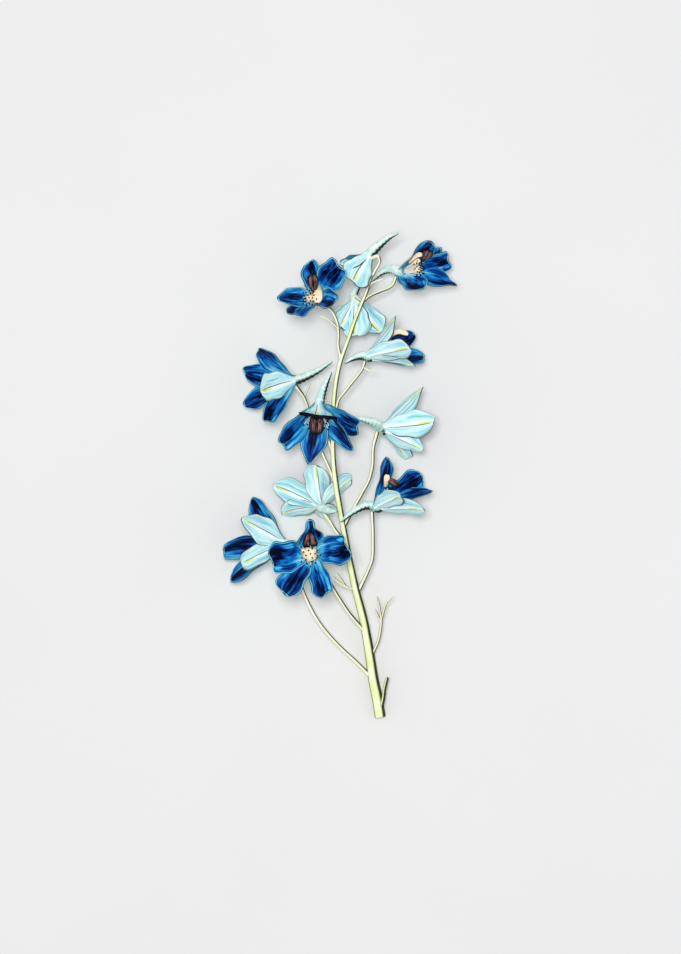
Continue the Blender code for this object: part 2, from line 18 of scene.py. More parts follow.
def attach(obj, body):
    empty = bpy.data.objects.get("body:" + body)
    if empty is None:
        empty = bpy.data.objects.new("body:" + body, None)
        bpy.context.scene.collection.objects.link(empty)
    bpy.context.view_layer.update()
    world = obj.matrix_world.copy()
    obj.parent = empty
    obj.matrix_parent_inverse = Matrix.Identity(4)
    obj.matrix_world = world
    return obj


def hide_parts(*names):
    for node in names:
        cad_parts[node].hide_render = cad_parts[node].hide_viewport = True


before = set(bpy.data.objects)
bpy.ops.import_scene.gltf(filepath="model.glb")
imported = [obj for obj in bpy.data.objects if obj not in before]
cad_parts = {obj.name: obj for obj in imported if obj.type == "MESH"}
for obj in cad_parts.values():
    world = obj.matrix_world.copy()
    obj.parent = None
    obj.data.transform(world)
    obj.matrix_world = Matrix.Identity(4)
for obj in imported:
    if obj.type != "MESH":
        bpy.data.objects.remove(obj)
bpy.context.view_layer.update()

MM = 0.001
BODY = "root"
log = logging.getLogger("flower_spike")

# Below this height, in millimetres, what lies lowest is pressed together
PRESSED_BELOW = 0.6

# A place as three numbers, and what gives a blade's points from the shares across and along
Spot = tuple[float, float, float]
Place = Callable[[float, float], Vector]

# What a smooth line runs through, and what may go into a node's input
Amount = Union[Vector, float]
Feed = Union[bpy.types.NodeSocket, float, tuple, None]


class Slot(Enum):
    """The record's material slots."""

    STEM = "stem"
    SEPALS = "sepals"
    DARK_PETALS = "dark_petals"
    CREAM_PARTS = "cream_parts"


class Outline(Enum):
    """How wide a blade is along its length, as shares of its full width."""

    OVATE = (
        (0.0, 0.28), (0.2, 0.52), (0.4, 0.84), (0.58, 1.0),
        (0.76, 1.0), (0.89, 0.8), (0.965, 0.5), (1.0, 0.2),
    )
    SQUARE = (
        (0.0, 0.28), (0.2, 0.52), (0.42, 0.84), (0.62, 1.0),
        (0.84, 1.02), (0.94, 0.86), (0.985, 0.62), (1.0, 0.46),
    )
    POINTED = (
        (0.0, 0.28), (0.2, 0.56), (0.42, 0.96), (0.56, 1.0),
        (0.72, 0.8), (0.86, 0.48), (0.95, 0.24), (1.0, 0.1),
    )
    TAILED = (
        (0.0, 0.28), (0.2, 0.58), (0.45, 0.96), (0.64, 1.0),
        (0.77, 0.8), (0.86, 0.42), (0.93, 0.28), (1.0, 0.12),
    )
    BLUNT = ((0.0, 0.26), (0.3, 0.5), (0.6, 0.78), (0.82, 0.96), (0.94, 1.02), (1.0, 1.0))
    NUBBED = (
        (0.0, 0.4), (0.25, 0.8), (0.45, 1.0), (0.62, 0.84),
        (0.76, 0.38), (0.88, 0.34), (0.96, 0.28), (1.0, 0.1),
    )
    CREAM = ((0.0, 0.4), (0.4, 0.8), (0.75, 1.0), (0.9, 0.85), (1.0, 0.35))
    LOBE = ((0.0, 0.3), (0.3, 0.7), (0.6, 1.0), (0.85, 0.8), (1.0, 0.2))
    ROUND = ((0.0, 0.3), (0.25, 0.8), (0.5, 1.0), (0.75, 0.95), (0.92, 0.6), (1.0, 0.1))
    BAR = ((0.0, 0.8), (0.3, 1.0), (0.7, 1.0), (0.9, 0.8), (1.0, 0.35))
    SKIRT = ((0.0, 0.85), (0.2, 1.0), (0.5, 0.84), (0.75, 0.6), (0.9, 0.4), (1.0, 0.1))


@dataclass
class Sepal:
    """One sepal: where its tip lies, how wide it is and how it is cupped, rolled, bent back and waved."""

    tip: Spot
    width: float = 11.0
    cup: float = 1.0
    roll: float = 10.0
    outline: Outline = Outline.OVATE
    reflex: float = 1.6
    wave: float = 0.35


@dataclass
class Bee:
    """The dark centre of a bloom: where it starts and ends, how wide it is and how it is shaped."""

    root: Spot
    tip: Spot
    width: float = 5.8
    outline: Outline = Outline.LOBE
    blue: bool = False


@dataclass
class Cream:
    """One cream upper petal: the places that it runs through and how wide it is."""

    places: tuple[Spot, ...]
    width: float = 2.8


@dataclass
class Bloom:
    """One bloom: its centre, the way it looks, its spur, its sepals and what its mouth holds.

    The first sepal is the upper one, which carries the spur. The spread is how far the stamens
    stand out, and the dome is how large the cream core is, as a share of the usual one.
    """

    centre: Spot
    facing: Spot
    spur: tuple[Spot, ...]
    sepals: tuple[Sepal, ...]
    bee: Bee | None = None
    heart: Spot | None = None
    creams: tuple[Cream, ...] = ()
    spread: float = 2.7
    dome: float = 1.0


BLOOMS = (
    Bloom(
        (-9.7, 74.8, 19.0), (-0.25, 0.3, 0.92),
        ((-10.7, 75.4, 13.0), (-10.6, 77.4, 8.0), (-9.6, 79.4, 4.6)),
        (
            Sepal((-12.2, 90.1, 24.5), 9.0, 1.4), Sepal((-26.3, 73.9, 26.5), 11.6, outline=Outline.POINTED),
            Sepal((0.4, 87.6, 30.0), 12.6, outline=Outline.SQUARE),
            Sepal((-19.2, 67.0, 32.5), 10.6, outline=Outline.SQUARE),
            Sepal((-1.8, 72.3, 33.0), 9.0, 2.0, roll=0.0),
        ),
        Bee((-10.8, 76.4, 23.6), (-11.6, 85.2, 27.4), 4.6), (-12.9, 74.2, 26.5),
        (Cream(((-9.2, 80.0, 21.5), (-9.2, 76.4, 25.4), (-9.8, 72.4, 26.5)), 4.2),),
    ),
    Bloom(
        (11.3, 92.0, 20.0), (-0.68, -0.72, -0.1),
        ((15.4, 96.0, 22.0), (19.8, 99.6, 23.6), (24.1, 101.6, 24.0)),
        (
            Sepal((1.4, 88.6, 11.5), 7.6), Sepal((5.2, 80.6, 29.0), 13.0),
            Sepal((0.6, 88.4, 23.0), 9.0, roll=0.0), Sepal((9.6, 79.6, 17.6), 9.0),
            Sepal((6.6, 83.0, 10.0), 8.4),
        ),
    ),
    Bloom(
        (26.0, 85.7, 15.0), (0.72, 0.02, 0.69),
        ((21.8, 87.2, 12.6), (17.8, 86.0, 10.6), (13.0, 81.9, 9.2)),
        (
            Sepal((37.4, 98.2, 24.0), 10.4, 2.4, roll=0.0, outline=Outline.SQUARE),
            Sepal((42.6, 95.2, 12.5), 9.2, roll=20.0),
            Sepal((34.0, 78.2, 27.0), 10.8, roll=35.0, outline=Outline.SQUARE),
            Sepal((46.3, 90.6, 12.5), 10.8, roll=25.0, outline=Outline.SQUARE),
            Sepal((49.5, 80.0, 16.0), 10.8, roll=-25.0, outline=Outline.TAILED),
        ),
        Bee((34.4, 90.2, 19.6), (38.0, 95.0, 22.4), 4.6), (32.8, 86.9, 20.5),
        (
            Cream(((28.9, 89.3, 18.6), (31.8, 92.3, 20.6), (34.4, 92.9, 22.0)), 2.0),
            Cream(((30.2, 89.0, 18.6), (33.4, 90.6, 21.0)), 1.8),
        ),
    ),
    Bloom(
        (7.6, 73.1, 9.0), (-0.05, -0.9, -0.42),
        ((5.6, 75.8, 8.4), (7.2, 79.4, 7.2), (11.0, 84.6, 5.8)),
        (
            Sepal((6.0, 58.4, 13.6), 12.0, roll=15.0), Sepal((16.6, 60.6, 12.0), 12.0, roll=20.0),
            Sepal((-2.3, 68.0, 1.5), 8.4, roll=-30.0), Sepal((-0.2, 62.3, 10.6), 10.0, roll=-15.0),
            Sepal((18.0, 64.6, 3.0), 9.4, roll=35.0),
        ),
    ),
    Bloom(
        (12.6, 50.0, 17.0), (0.94, 0.28, 0.18),
        ((9.2, 50.6, 17.4), (5.8, 49.6, 18.0), (2.3, 47.5, 19.4)),
        (
            Sepal((23.2, 66.6, 20.5), 9.6, 1.6, roll=25.0), Sepal((31.4, 60.0, 10.0), 9.6, roll=15.0),
            Sepal((29.2, 53.6, 30.5), 10.0), Sepal((35.9, 50.0, 9.5), 10.4, roll=-5.0),
            Sepal((31.2, 46.4, 21.0), 9.6, roll=-15.0),
        ),
        Bee((21.7, 56.9, 17.2), (29.0, 57.8, 20.0), 4.4, Outline.ROUND, blue=True), (20.6, 52.8, 18.6),
        (Cream(((20.6, 56.8, 18.6), (21.6, 59.4, 20.0), (25.0, 60.6, 21.0), (28.6, 59.4, 21.4)), 2.2),),
    ),
    Bloom(
        (-20.6, 39.9, 15.0), (-0.93, -0.16, 0.32),
        ((-15.8, 41.4, 13.2), (-9.8, 44.2, 11.8), (-3.6, 48.1, 11.0)),
        (
            Sepal((-34.6, 53.1, 20.0), 10.6, roll=25.0), Sepal((-40.8, 44.1, 8.0), 10.0, roll=5.0),
            Sepal((-33.0, 35.1, 31.5), 12.0), Sepal((-40.3, 30.1, 8.0), 10.0, roll=5.0),
            Sepal((-30.6, 22.4, 20.5), 9.8, roll=-40.0),
        ),
        Bee((-24.6, 40.6, 18.6), (-31.4, 39.0, 21.8), 5.0), (-28.0, 38.8, 15.8),
    ),
    Bloom(
        (-9.2, 28.6, 19.0), (0.08, -0.8, 0.6),
        ((-8.2, 33.0, 17.0), (-6.2, 38.4, 17.0), (-3.8, 43.3, 18.4)),
        (
            Sepal((-9.4, 25.4, 31.0), 16.4, 1.4, roll=-14.0, outline=Outline.BLUNT),
            Sepal((-24.4, 12.8, 25.5), 12.4, outline=Outline.SQUARE),
            Sepal((7.8, 19.4, 26.5), 11.2, roll=-12.0, outline=Outline.SQUARE),
            Sepal((-13.0, 4.9, 17.0), 12.4, outline=Outline.POINTED),
            Sepal((5.5, 10.9, 20.0), 12.0, outline=Outline.POINTED),
        ),
        Bee((-9.7, 25.2, 24.2), (-10.0, 17.0, 27.8), 6.1, Outline.BAR), (-9.5, 21.2, 22.2),
        (Cream(((-9.6, 25.0, 21.6), (-9.6, 22.0, 22.4)), 1.6),),
        spread=4.6,
    ),
    Bloom(
        (18.5, 19.3, 13.0), (0.95, -0.02, -0.3),
        ((14.4, 22.2, 15.0), (10.0, 23.8, 16.0), (5.9, 24.4, 16.2)),
        (
            Sepal((35.1, 37.4, 14.0), 9.0, roll=15.0, outline=Outline.POINTED),
            Sepal((39.4, 22.8, 21.0), 11.4),
            Sepal((29.4, 27.2, 0.8), 9.0, roll=0.0),
            Sepal((35.4, 10.8, 16.0), 10.6, roll=-15.0, outline=Outline.POINTED),
            Sepal((28.6, 7.2, 1.0), 9.0, roll=-40.0),
        ),
    ),
    Bloom(
        (16.0, -13.4, 16.0), (0.75, 0.58, 0.31),
        ((11.2, -12.2, 17.2), (5.9, -14.7, 18.0), (0.4, -18.9, 18.4)),
        (
            Sepal((20.0, 7.6, 20.0), 9.6, 1.8, roll=-15.0),
            Sepal((34.6, -0.4, 8.0), 12.0, roll=30.0, outline=Outline.SQUARE),
            Sepal((25.6, -8.2, 31.0), 9.6, roll=5.0), Sepal((38.4, -5.9, 13.0), 9.8, roll=-20.0),
            Sepal((35.0, -13.9, 22.5), 11.8, roll=-40.0),
        ),
        Bee((18.8, -1.0, 19.3), (25.0, -4.2, 23.6), 3.2), (21.8, -7.4, 19.4),
        (Cream(((19.0, -4.6, 19.6), (19.4, -2.0, 21.0), (19.8, 0.6, 21.8)), 2.6),),
    ),
    Bloom(
        (-8.8, -12.6, 11.5), (-0.25, 0.48, -0.84),
        ((-7.0, -13.6, 15.6), (-4.4, -14.6, 20.0), (-1.3, -14.7, 24.4)),
        (
            Sepal((-10.4, 4.6, 7.0), 12.0), Sepal((-27.8, -4.2, 5.0), 10.6),
            Sepal((5.0, -0.8, 3.6), 9.2), Sepal((-24.7, -15.6, 0.5), 9.4, roll=0.0),
            Sepal((-4.0, -16.5, 0.8), 8.6),
        ),
    ),
    Bloom(
        (-25.2, -28.1, 11.0), (-0.95, 0.14, 0.16),
        ((-20.0, -29.4, 9.6), (-14.6, -31.8, 7.8), (-10.1, -35.3, 5.8)),
        (
            Sepal((-37.3, -9.8, 10.0), 9.6, 1.8, roll=50.0),
            Sepal((-41.0, -17.9, 27.5), 12.0, roll=-20.0, outline=Outline.POINTED),
            Sepal((-49.8, -31.9, 3.0), 13.4),
            Sepal((-41.6, -37.0, 25.5), 8.8, roll=40.0), Sepal((-46.0, -43.8, 9.0), 11.0, roll=-20.0),
        ),
        Bee((-29.2, -26.8, 14.4), (-36.2, -25.8, 16.0), 4.8), (-31.6, -27.4, 11.2),
    ),
    Bloom(
        (-12.2, -32.3, 22.5), (-0.02, -0.12, 0.99),
        ((-10.9, -30.2, 17.4), (-8.4, -27.7, 12.0), (-5.5, -25.6, 8.4)),
        (
            Sepal((-12.4, -18.4, 30.5), 12.4, 1.8, outline=Outline.NUBBED),
            Sepal((-29.0, -35.2, 31.0), 13.4, outline=Outline.SQUARE),
            Sepal((3.4, -29.4, 31.5), 13.4, outline=Outline.SQUARE),
            Sepal((-23.4, -49.0, 31.0), 11.0, outline=Outline.SQUARE),
            Sepal((-5.7, -49.6, 31.5), 9.4, outline=Outline.SQUARE),
        ),
        Bee((-12.5, -29.4, 26.6), (-12.8, -23.0, 30.8), 6.4, Outline.SKIRT), (-12.7, -32.8, 29.0),
        (
            Cream(((-15.0, -31.8, 28.0), (-15.6, -30.6, 29.2)), 1.4),
            Cream(((-11.0, -31.8, 28.0), (-10.4, -30.6, 29.2)), 1.4),
        ),
        spread=3.5, dome=2.0,
    ),
)

# The main axis from its cut end to the top: place, then half thickness
AXIS = (
    ((17.0, -101.6, 2.3), 2.3), ((15.8, -94.1, 2.6), 2.3), ((14.1, -85.7, 3.3), 2.2),
    ((12.2, -73.1, 4.8), 2.0), ((9.9, -60.5, 7.2), 1.8), ((6.7, -47.9, 9.6), 1.6),
    ((4.0, -35.3, 11.6), 1.4), ((0.4, -16.0, 13.0), 1.25), ((-1.7, -3.4, 13.8), 1.18),
    ((-2.9, 9.7, 14.4), 1.05), ((-2.7, 29.0, 15.0), 1.0), ((-1.5, 40.3, 15.4), 0.95),
    ((0.4, 48.7, 15.8), 0.9), ((3.4, 57.1, 16.2), 0.82), ((6.3, 65.5, 16.8), 0.78),
    ((9.7, 73.9, 17.4), 0.72),
)

# Each bloom's stalk from the axis towards its bloom: half thickness, then its places
STALKS = {
    1: (0.62, ((0.4, 49.4, 15.8), (-0.8, 55.0, 15.6), (-0.6, 59.2, 15.2), (-1.2, 64.4, 14.6),
               (-3.6, 69.6, 14.2))),
    2: (0.6, ((9.6, 73.6, 17.4), (11.3, 77.7, 19.2), (12.8, 82.4, 21.0), (14.8, 86.2, 22.6),
              (16.6, 89.6, 24.2), (15.8, 92.0, 25.0))),
    3: (0.6, ((9.6, 73.4, 17.4), (12.6, 75.6, 16.6), (17.0, 77.6, 15.0), (21.6, 79.8, 13.8))),
    4: (0.6, ((9.4, 72.6, 17.2), (9.0, 73.4, 14.6))),
    5: (0.62, ((-1.9, 27.0, 14.8), (-0.6, 31.9, 15.4), (1.6, 34.9, 15.6), (4.2, 38.2, 15.6),
               (7.6, 42.4, 15.4), (9.6, 45.4, 15.4))),
    6: (0.62, ((-2.1, -3.4, 13.6), (-4.2, 2.5, 12.6), (-7.6, 10.2, 11.2), (-11.8, 22.0, 10.4),
               (-14.6, 32.0, 11.2))),
    7: (0.62, ((-2.9, 8.4, 14.2), (-4.6, 14.6, 13.8), (-6.6, 20.6, 13.8))),
    8: (0.72, ((2.0, -20.5, 12.6), (6.1, -13.0, 11.6), (9.4, -7.0, 11.4), (12.2, -1.7, 11.6),
               (13.7, 4.5, 12.0), (14.0, 11.6, 12.2))),
    9: (0.72, ((8.2, -47.6, 9.2), (11.8, -39.9, 10.6), (13.7, -34.3, 11.4), (13.9, -26.6, 12.6),
               (13.8, -20.6, 13.4))),
    10: (0.68, ((1.2, -26.6, 12.4), (-1.6, -23.2, 13.2), (-3.8, -19.8, 13.6))),
    11: (0.7, ((12.6, -84.2, 3.6), (6.3, -77.9, 5.0), (-1.6, -70.4, 6.6), (-8.8, -61.7, 8.0),
               (-13.9, -52.5, 8.4), (-17.4, -43.5, 8.2), (-20.6, -36.4, 8.2))),
    12: (0.66, ((11.4, -66.4, 6.2), (4.6, -58.6, 9.6), (-0.8, -50.6, 12.6), (-5.4, -42.4, 15.6))),
}

# Thin bracts, their lobes and the cut leaf stub: half thickness at the root and the end, then places
BRACTS = (
    (0.62, 0.5, ((14.0, -74.5, 5.0), (16.3, -68.9, 6.4), (17.3, -63.0, 7.6), (17.4, -60.0, 8.2))),
    (0.5, 0.26, ((17.4, -60.4, 8.1), (19.3, -54.0, 9.2), (21.0, -51.8, 9.8), (22.4, -50.6, 10.4))),
    (0.5, 0.26, ((17.4, -60.4, 8.1), (16.5, -54.4, 9.6), (15.6, -50.8, 10.6))),
    (0.45, 0.26, ((17.3, -61.4, 7.8), (15.9, -58.6, 8.8), (14.8, -56.2, 9.4))),
    (0.5, 0.26, ((6.6, -47.6, 9.8), (2.6, -46.6, 11.0), (-1.6, -43.8, 11.6), (-2.8, -42.4, 11.8))),
    (0.42, 0.26, ((2.4, -46.5, 10.9), (0.4, -43.2, 12.2), (-1.4, -40.8, 13.2))),
    (0.85, 0.7, ((17.2, -99.0, 3.2), (18.3, -94.0, 4.4), (18.9, -89.4, 5.6), (19.9, -85.2, 7.0))),
    (0.5, 0.3, ((10.6, 75.2, 17.5), (12.2, 79.0, 18.6), (13.6, 81.0, 19.4), (17.6, 82.6, 20.0))),
    (0.36, 0.26, ((-15.4, 33.4, 11.6), (-13.6, 36.2, 12.6), (-12.6, 38.6, 13.4))),
    (0.36, 0.26, ((-0.7, 62.0, 15.0), (-4.6, 65.6, 16.0), (-8.4, 67.4, 16.6))),
    (0.36, 0.26, ((9.8, 45.8, 15.4), (12.6, 44.2, 16.4), (14.6, 44.4, 17.0))),
)

# Which of them is the leaf stub
LEAF_STUB = 6

# The ways toward which shade is painted on a bloom's parts and on a stem
SHADE_SIDE = Vector((0.7, -0.72, 0.1)).normalized()
STEM_SHADE_SIDE = Vector((0.99, -0.1, 0.1)).normalized()


def tint(code: str) -> tuple[float, float, float, float]:
    """Turns a colour written as six hexadecimal digits into a linear colour.

    Args:
        code: The colour as RRGGBB.

    Returns:
        Red, green, blue and alpha for a shader.
    """
    shares = [int(code[start:start + 2], 16) / 255 for start in (0, 2, 4)]
    linear = [share / 12.92 if share <= 0.04045 else ((share + 0.055) / 1.055) ** 2.4 for share in shares]
    return (*linear, 1.0)


def ease(low: float, high: float, value: float) -> float:
    """A smooth step.

    Args:
        low: Where the step starts.
        high: Where it ends.
        value: Where it is read.

    Returns:
        0 up to low, 1 from high on, and a smooth rise between them.
    """
    share = min(1.0, max(0.0, (value - low) / (high - low)))
    return share * share * (3 - 2 * share)


def blend(start: Amount, before: Amount, end: Amount, after: Amount, share: float) -> Amount:
    """Cubic value between two knots that passes smoothly through its neighbours.

    Args:
        start: The value at the first knot.
        before: The value at the knot before it.
        end: The value at the second knot.
        after: The value at the knot after that.
        share: How far along from start to end.

    Returns:
        The value there, of the same kind as the knots.
    """
    square, cube = share * share, share ** 3
    return (
        start
        + (end - before) * (share / 2)
        + (before * 2 - start * 5 + end * 4 - after) * (square / 2)
        + (start * 3 - before - end * 3 + after) * (cube / 2)
    )


def along_path(knots: Sequence[Amount], share: float) -> Amount:
    """A place, or a number, on a smooth line through evenly spaced knots.

    Args:
        knots: Vectors or numbers, two or more.
        share: From 0 at the first knot to 1 at the last.

    Returns:
        The value at that share.
    """
    spans = len(knots) - 1
    span = min(spans - 1, int(share * spans))
    start, end = knots[span], knots[span + 1]
    before = knots[span - 1] if span else start * 2 - end
    after = knots[span + 2] if span + 2 <= spans else end * 2 - start
    return blend(start, before, end, after, share * spans - span)


def outline_at(outline: Outline, share: float) -> float:
    """How wide a blade is at a share of its length, smoothly between its outline's points.

    Args:
        outline: The blade's outline.
        share: The share of its length, from 0 to 1.

    Returns:
        The share of its full width there.
    """
    points = outline.value
    for index, ((start, low), (end, high)) in enumerate(zip(points, points[1:])):
        if share <= end:
            before = points[index - 1][1] if index else low
            after = points[index + 2][1] if index + 2 < len(points) else high
            return max(0.04, blend(low, before, high, after, (share - start) / (end - start)))
    return points[-1][1]


def only(piece: bpy.types.Object) -> bpy.types.Object:
    """Selects one object alone and makes it the active one.

    Args:
        piece: The object.

    Returns:
        The same object.
    """
    bpy.ops.object.select_all(action="DESELECT")
    piece.select_set(True)
    bpy.context.view_layer.objects.active = piece
    return piece


def shaped_grid(name: str, cells: tuple[int, int], place: Place, crowding: float = 1.0) -> bpy.types.Object:
    """A flat grid whose points are moved onto a curved surface.

    Args:
        name: The new object's name.
        cells: How many faces it has across and along.
        place: Gives a point in millimetres from -1 to 1 across and 0 to 1 along.
        crowding: How much closer than evenly the rows lie toward the far end, from 1 up.

    Returns:
        The new object, with a UV map of the shares across and along.
    """
    bpy.ops.object.select_all(action="DESELECT")
    bpy.ops.mesh.primitive_grid_add(x_subdivisions=cells[0], y_subdivisions=cells[1], size=2.0)
    piece = bpy.context.object
    piece.name = name
    for vert in piece.data.vertices:
        vert.co = place(vert.co.x, 1 - max(0.0, (1 - vert.co.y) / 2) ** crowding) * MM
    for corner in piece.data.uv_layers.active.data:
        corner.uv.y = 1 - max(0.0, 1 - corner.uv.y) ** crowding
    return piece


def paint(piece: bpy.types.Object, name: str, value_at: Callable[[int], float]) -> None:
    """Stores a number at every point of a mesh for its material to read.

    Args:
        piece: The mesh object.
        name: The attribute's name.
        value_at: Gives the number from the point's index.
    """
    layer = piece.data.attributes.new(name, "FLOAT", "POINT")
    layer.data.foreach_set("value", [value_at(index) for index in range(len(piece.data.vertices))])


def applied(piece: bpy.types.Object, kind: str, **settings: object) -> bpy.types.Object:
    """Adds a modifier to a piece and applies it.

    Args:
        piece: The mesh object.
        kind: The modifier's type.
        **settings: The modifier's own values.

    Returns:
        The same piece.
    """
    only(piece)
    modifier = piece.modifiers.new(kind.lower(), kind)
    for name, value in settings.items():
        setattr(modifier, name, value)
    bpy.ops.object.modifier_apply(modifier=modifier.name)
    return piece


def walled(piece: bpy.types.Object, thickness: float, **settings: object) -> bpy.types.Object:
    """Gives a thin blade its thickness and soft edges.

    Args:
        piece: The blade.
        thickness: How thick it gets, in millimetres.
        **settings: Further values of the Solidify modifier.

    Returns:
        The same blade.
    """
    applied(piece, "SOLIDIFY", thickness=thickness * MM, offset=0.0, **settings)
    return applied(piece, "SUBSURF", levels=1, render_levels=1)


def ball(name: str, segments: int, rings: int) -> bpy.types.Object:
    """A ball with a half thickness of one millimetre round the origin, to be shaped.

    Args:
        name: The new object's name.
        segments: How many faces it has around.
        rings: How many rows of faces it has.

    Returns:
        The new object.
    """
    bpy.ops.object.select_all(action="DESELECT")
    bpy.ops.mesh.primitive_uv_sphere_add(segments=segments, ring_count=rings, radius=MM)
    piece = bpy.context.object
    piece.name = name
    return piece


def closed_up(piece: bpy.types.Object) -> bpy.types.Object:
    """Merges the points that meet along a seam or at a pole and turns the faces outward.

    Args:
        piece: The mesh object.

    Returns:
        The same object.
    """
    only(piece)
    bpy.ops.object.mode_set(mode="EDIT")
    bpy.ops.mesh.select_all(action="SELECT")
    bpy.ops.mesh.remove_doubles(threshold=0.002 * MM)
    bpy.ops.mesh.normals_make_consistent(inside=False)
    bpy.ops.object.mode_set(mode="OBJECT")
    return piece


def fused(name: str, pieces: Sequence[bpy.types.Object]) -> bpy.types.Object:
    """Joins objects into one, which takes a name.

    Args:
        name: The joined object's name.
        pieces: The objects, the first of which stays.

    Returns:
        The joined object.
    """
    only(pieces[0])
    for piece in pieces:
        piece.select_set(True)
    if len(pieces) > 1:
        bpy.ops.object.join()
    joined = pieces[0]
    joined.name = name
    joined.data.name = name
    return joined


def dressed(piece: bpy.types.Object, *materials: bpy.types.Material) -> bpy.types.Object:
    """Gives a piece its materials in order and shades it smooth.

    Args:
        piece: The mesh object.
        *materials: Its materials.

    Returns:
        The same object.
    """
    for material in materials:
        piece.data.materials.append(material)
    piece.data.shade_smooth()
    return piece


def settle(piece: bpy.types.Object) -> None:
    """Presses smoothly together what lies lowest, so that nothing reaches below the surface.

    Args:
        piece: The mesh object.
    """
    for vert in piece.data.vertices:
        height = vert.co.z / MM
        if height < PRESSED_BELOW:
            vert.co.z = PRESSED_BELOW * math.exp(height / PRESSED_BELOW - 1) * MM


def handed_in(piece: bpy.types.Object, slot: Slot, node: str) -> None:
    """Settles a finished piece, ties it to the body and hides the node that it stands for.

    Args:
        piece: The finished piece.
        slot: Its material slot; not used.
        node: The solid that it stands for.
    """
    settle(piece)
    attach(piece, BODY)
    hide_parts(node)
    log.info("%s stands for %s with %d faces", piece.name, node, len(piece.data.polygons))


@dataclass
class Tube:
    """A closed round tube through stations, each a place and a half thickness in millimetres."""

    stations: list[tuple[Vector, float]]
    around: int = 12
    ribs: int = 0
    rib_depth: float = 0.0

    def frames(self) -> list[tuple[Vector, Vector]]:
        """The heading and the first of two sideways axes at each station, turned as little as can be.

        Returns:
            A pair of directions for each station.
        """
        places = [place for place, _ in self.stations]
        found = []
        side = None
        for index in range(len(places)):
            before, after = places[max(0, index - 2)], places[min(len(places) - 1, index + 2)]
            heading = (after - before).normalized()
            if side is None:
                side = heading.orthogonal()
            side = (side - heading * side.dot(heading)).normalized()
            found.append((heading, side))
        return found

    def build(self, name: str, shade_side: Vector, wrinkle: Callable | None = None) -> bpy.types.Object:
        """Makes the tube.

        Args:
            name: The new object's name.
            shade_side: The way that its side painted in shade looks.
            wrinkle: Gives a share to add to the thickness from the share along and the shade there.

        Returns:
            The tube as a mesh object that stores at each point how much it looks to the side painted
            in shade, from -1 to 1.
        """
        frames = self.frames()
        last = len(self.stations) - 1
        shades = []

        def place(across: float, along: float) -> Vector:
            """A point of the tube's skin.

            Args:
                across: The share around, from -1 to 1.
                along: The share along, from 0 to 1.

            Returns:
                The point's place in millimetres.
            """
            index = round(along * last)
            centre, radius = self.stations[index]
            heading, side = frames[index]
            turn = math.pi * across
            out = side * math.cos(turn) + heading.cross(side) * math.sin(turn)
            shade = out.dot(shade_side)
            swell = self.rib_depth * math.cos(self.ribs * turn)
            if wrinkle:
                swell += wrinkle(along, max(0.0, shade))
            shades.append(shade)
            return centre + out * (radius * (1 + swell))

        piece = shaped_grid(name, (self.around, last), place)
        paint(piece, "shade", lambda index: shades[index])
        return closed_up(piece)


# The least half thickness of a tube in millimetres
THINNEST = 0.05

# How a tube's end closes, as shares of its half thickness: how far out, then how wide
ROUNDING = ((0.8, 0.0), (0.72, 0.4), (0.5, 0.72), (0.24, 0.93))
CUT = ((0.06, 0.0), (0.1, 0.4), (0.14, 0.8), (0.1, 0.96))


def stations_along(
    knots: Sequence[Vector], radii: Sequence[float], count: int, flat_start: bool = False,
) -> list[tuple[Vector, float]]:
    """Stations along a smooth path with a closed start and a rounded end.

    Args:
        knots: Places in millimetres.
        radii: Half thicknesses, evenly spaced along the path.
        count: How many stretches the path is cut into.
        flat_start: Whether the start is a flat cut and not a rounded end.

    Returns:
        The places with their half thicknesses.
    """
    body = []
    for step in range(count + 1):
        share = step / count
        body.append((along_path(knots, share), max(THINNEST, along_path(radii, share))))
    first, second = body[0], body[1]
    heading = (first[0] - second[0]).normalized()
    form = CUT if flat_start else ROUNDING
    start = [(first[0] + heading * first[1] * rise, first[1] * width) for rise, width in form]
    last = body[-1]
    heading = (last[0] - body[-2][0]).normalized()
    end = [(last[0] + heading * last[1] * rise, last[1] * width) for rise, width in reversed(ROUNDING)]
    return start + body + end


class BloomFrame:
    """The axes of a bloom: forward out of its mouth, up toward its spurred sepal, and across."""

    def __init__(self, bloom: Bloom) -> None:
        """Works the axes out.

        Args:
            bloom: The bloom's form.
        """
        self.centre = Vector(bloom.centre)
        self.forward = Vector(bloom.facing).normalized()
        rise = Vector(bloom.sepals[0].tip) - self.centre
        self.up = (rise - self.forward * rise.dot(self.forward)).normalized()
        self.across = self.forward.cross(self.up)
        self.back = (Vector(bloom.spur[0]) - self.centre).normalized()
        self.hood_angle = self.forward.angle(rise)

    def at(self, forward: float, up: float, across: float = 0.0) -> Vector:
        """A place in millimetres given along the three axes."""
        return self.centre + self.forward * forward + self.up * up + self.across * across


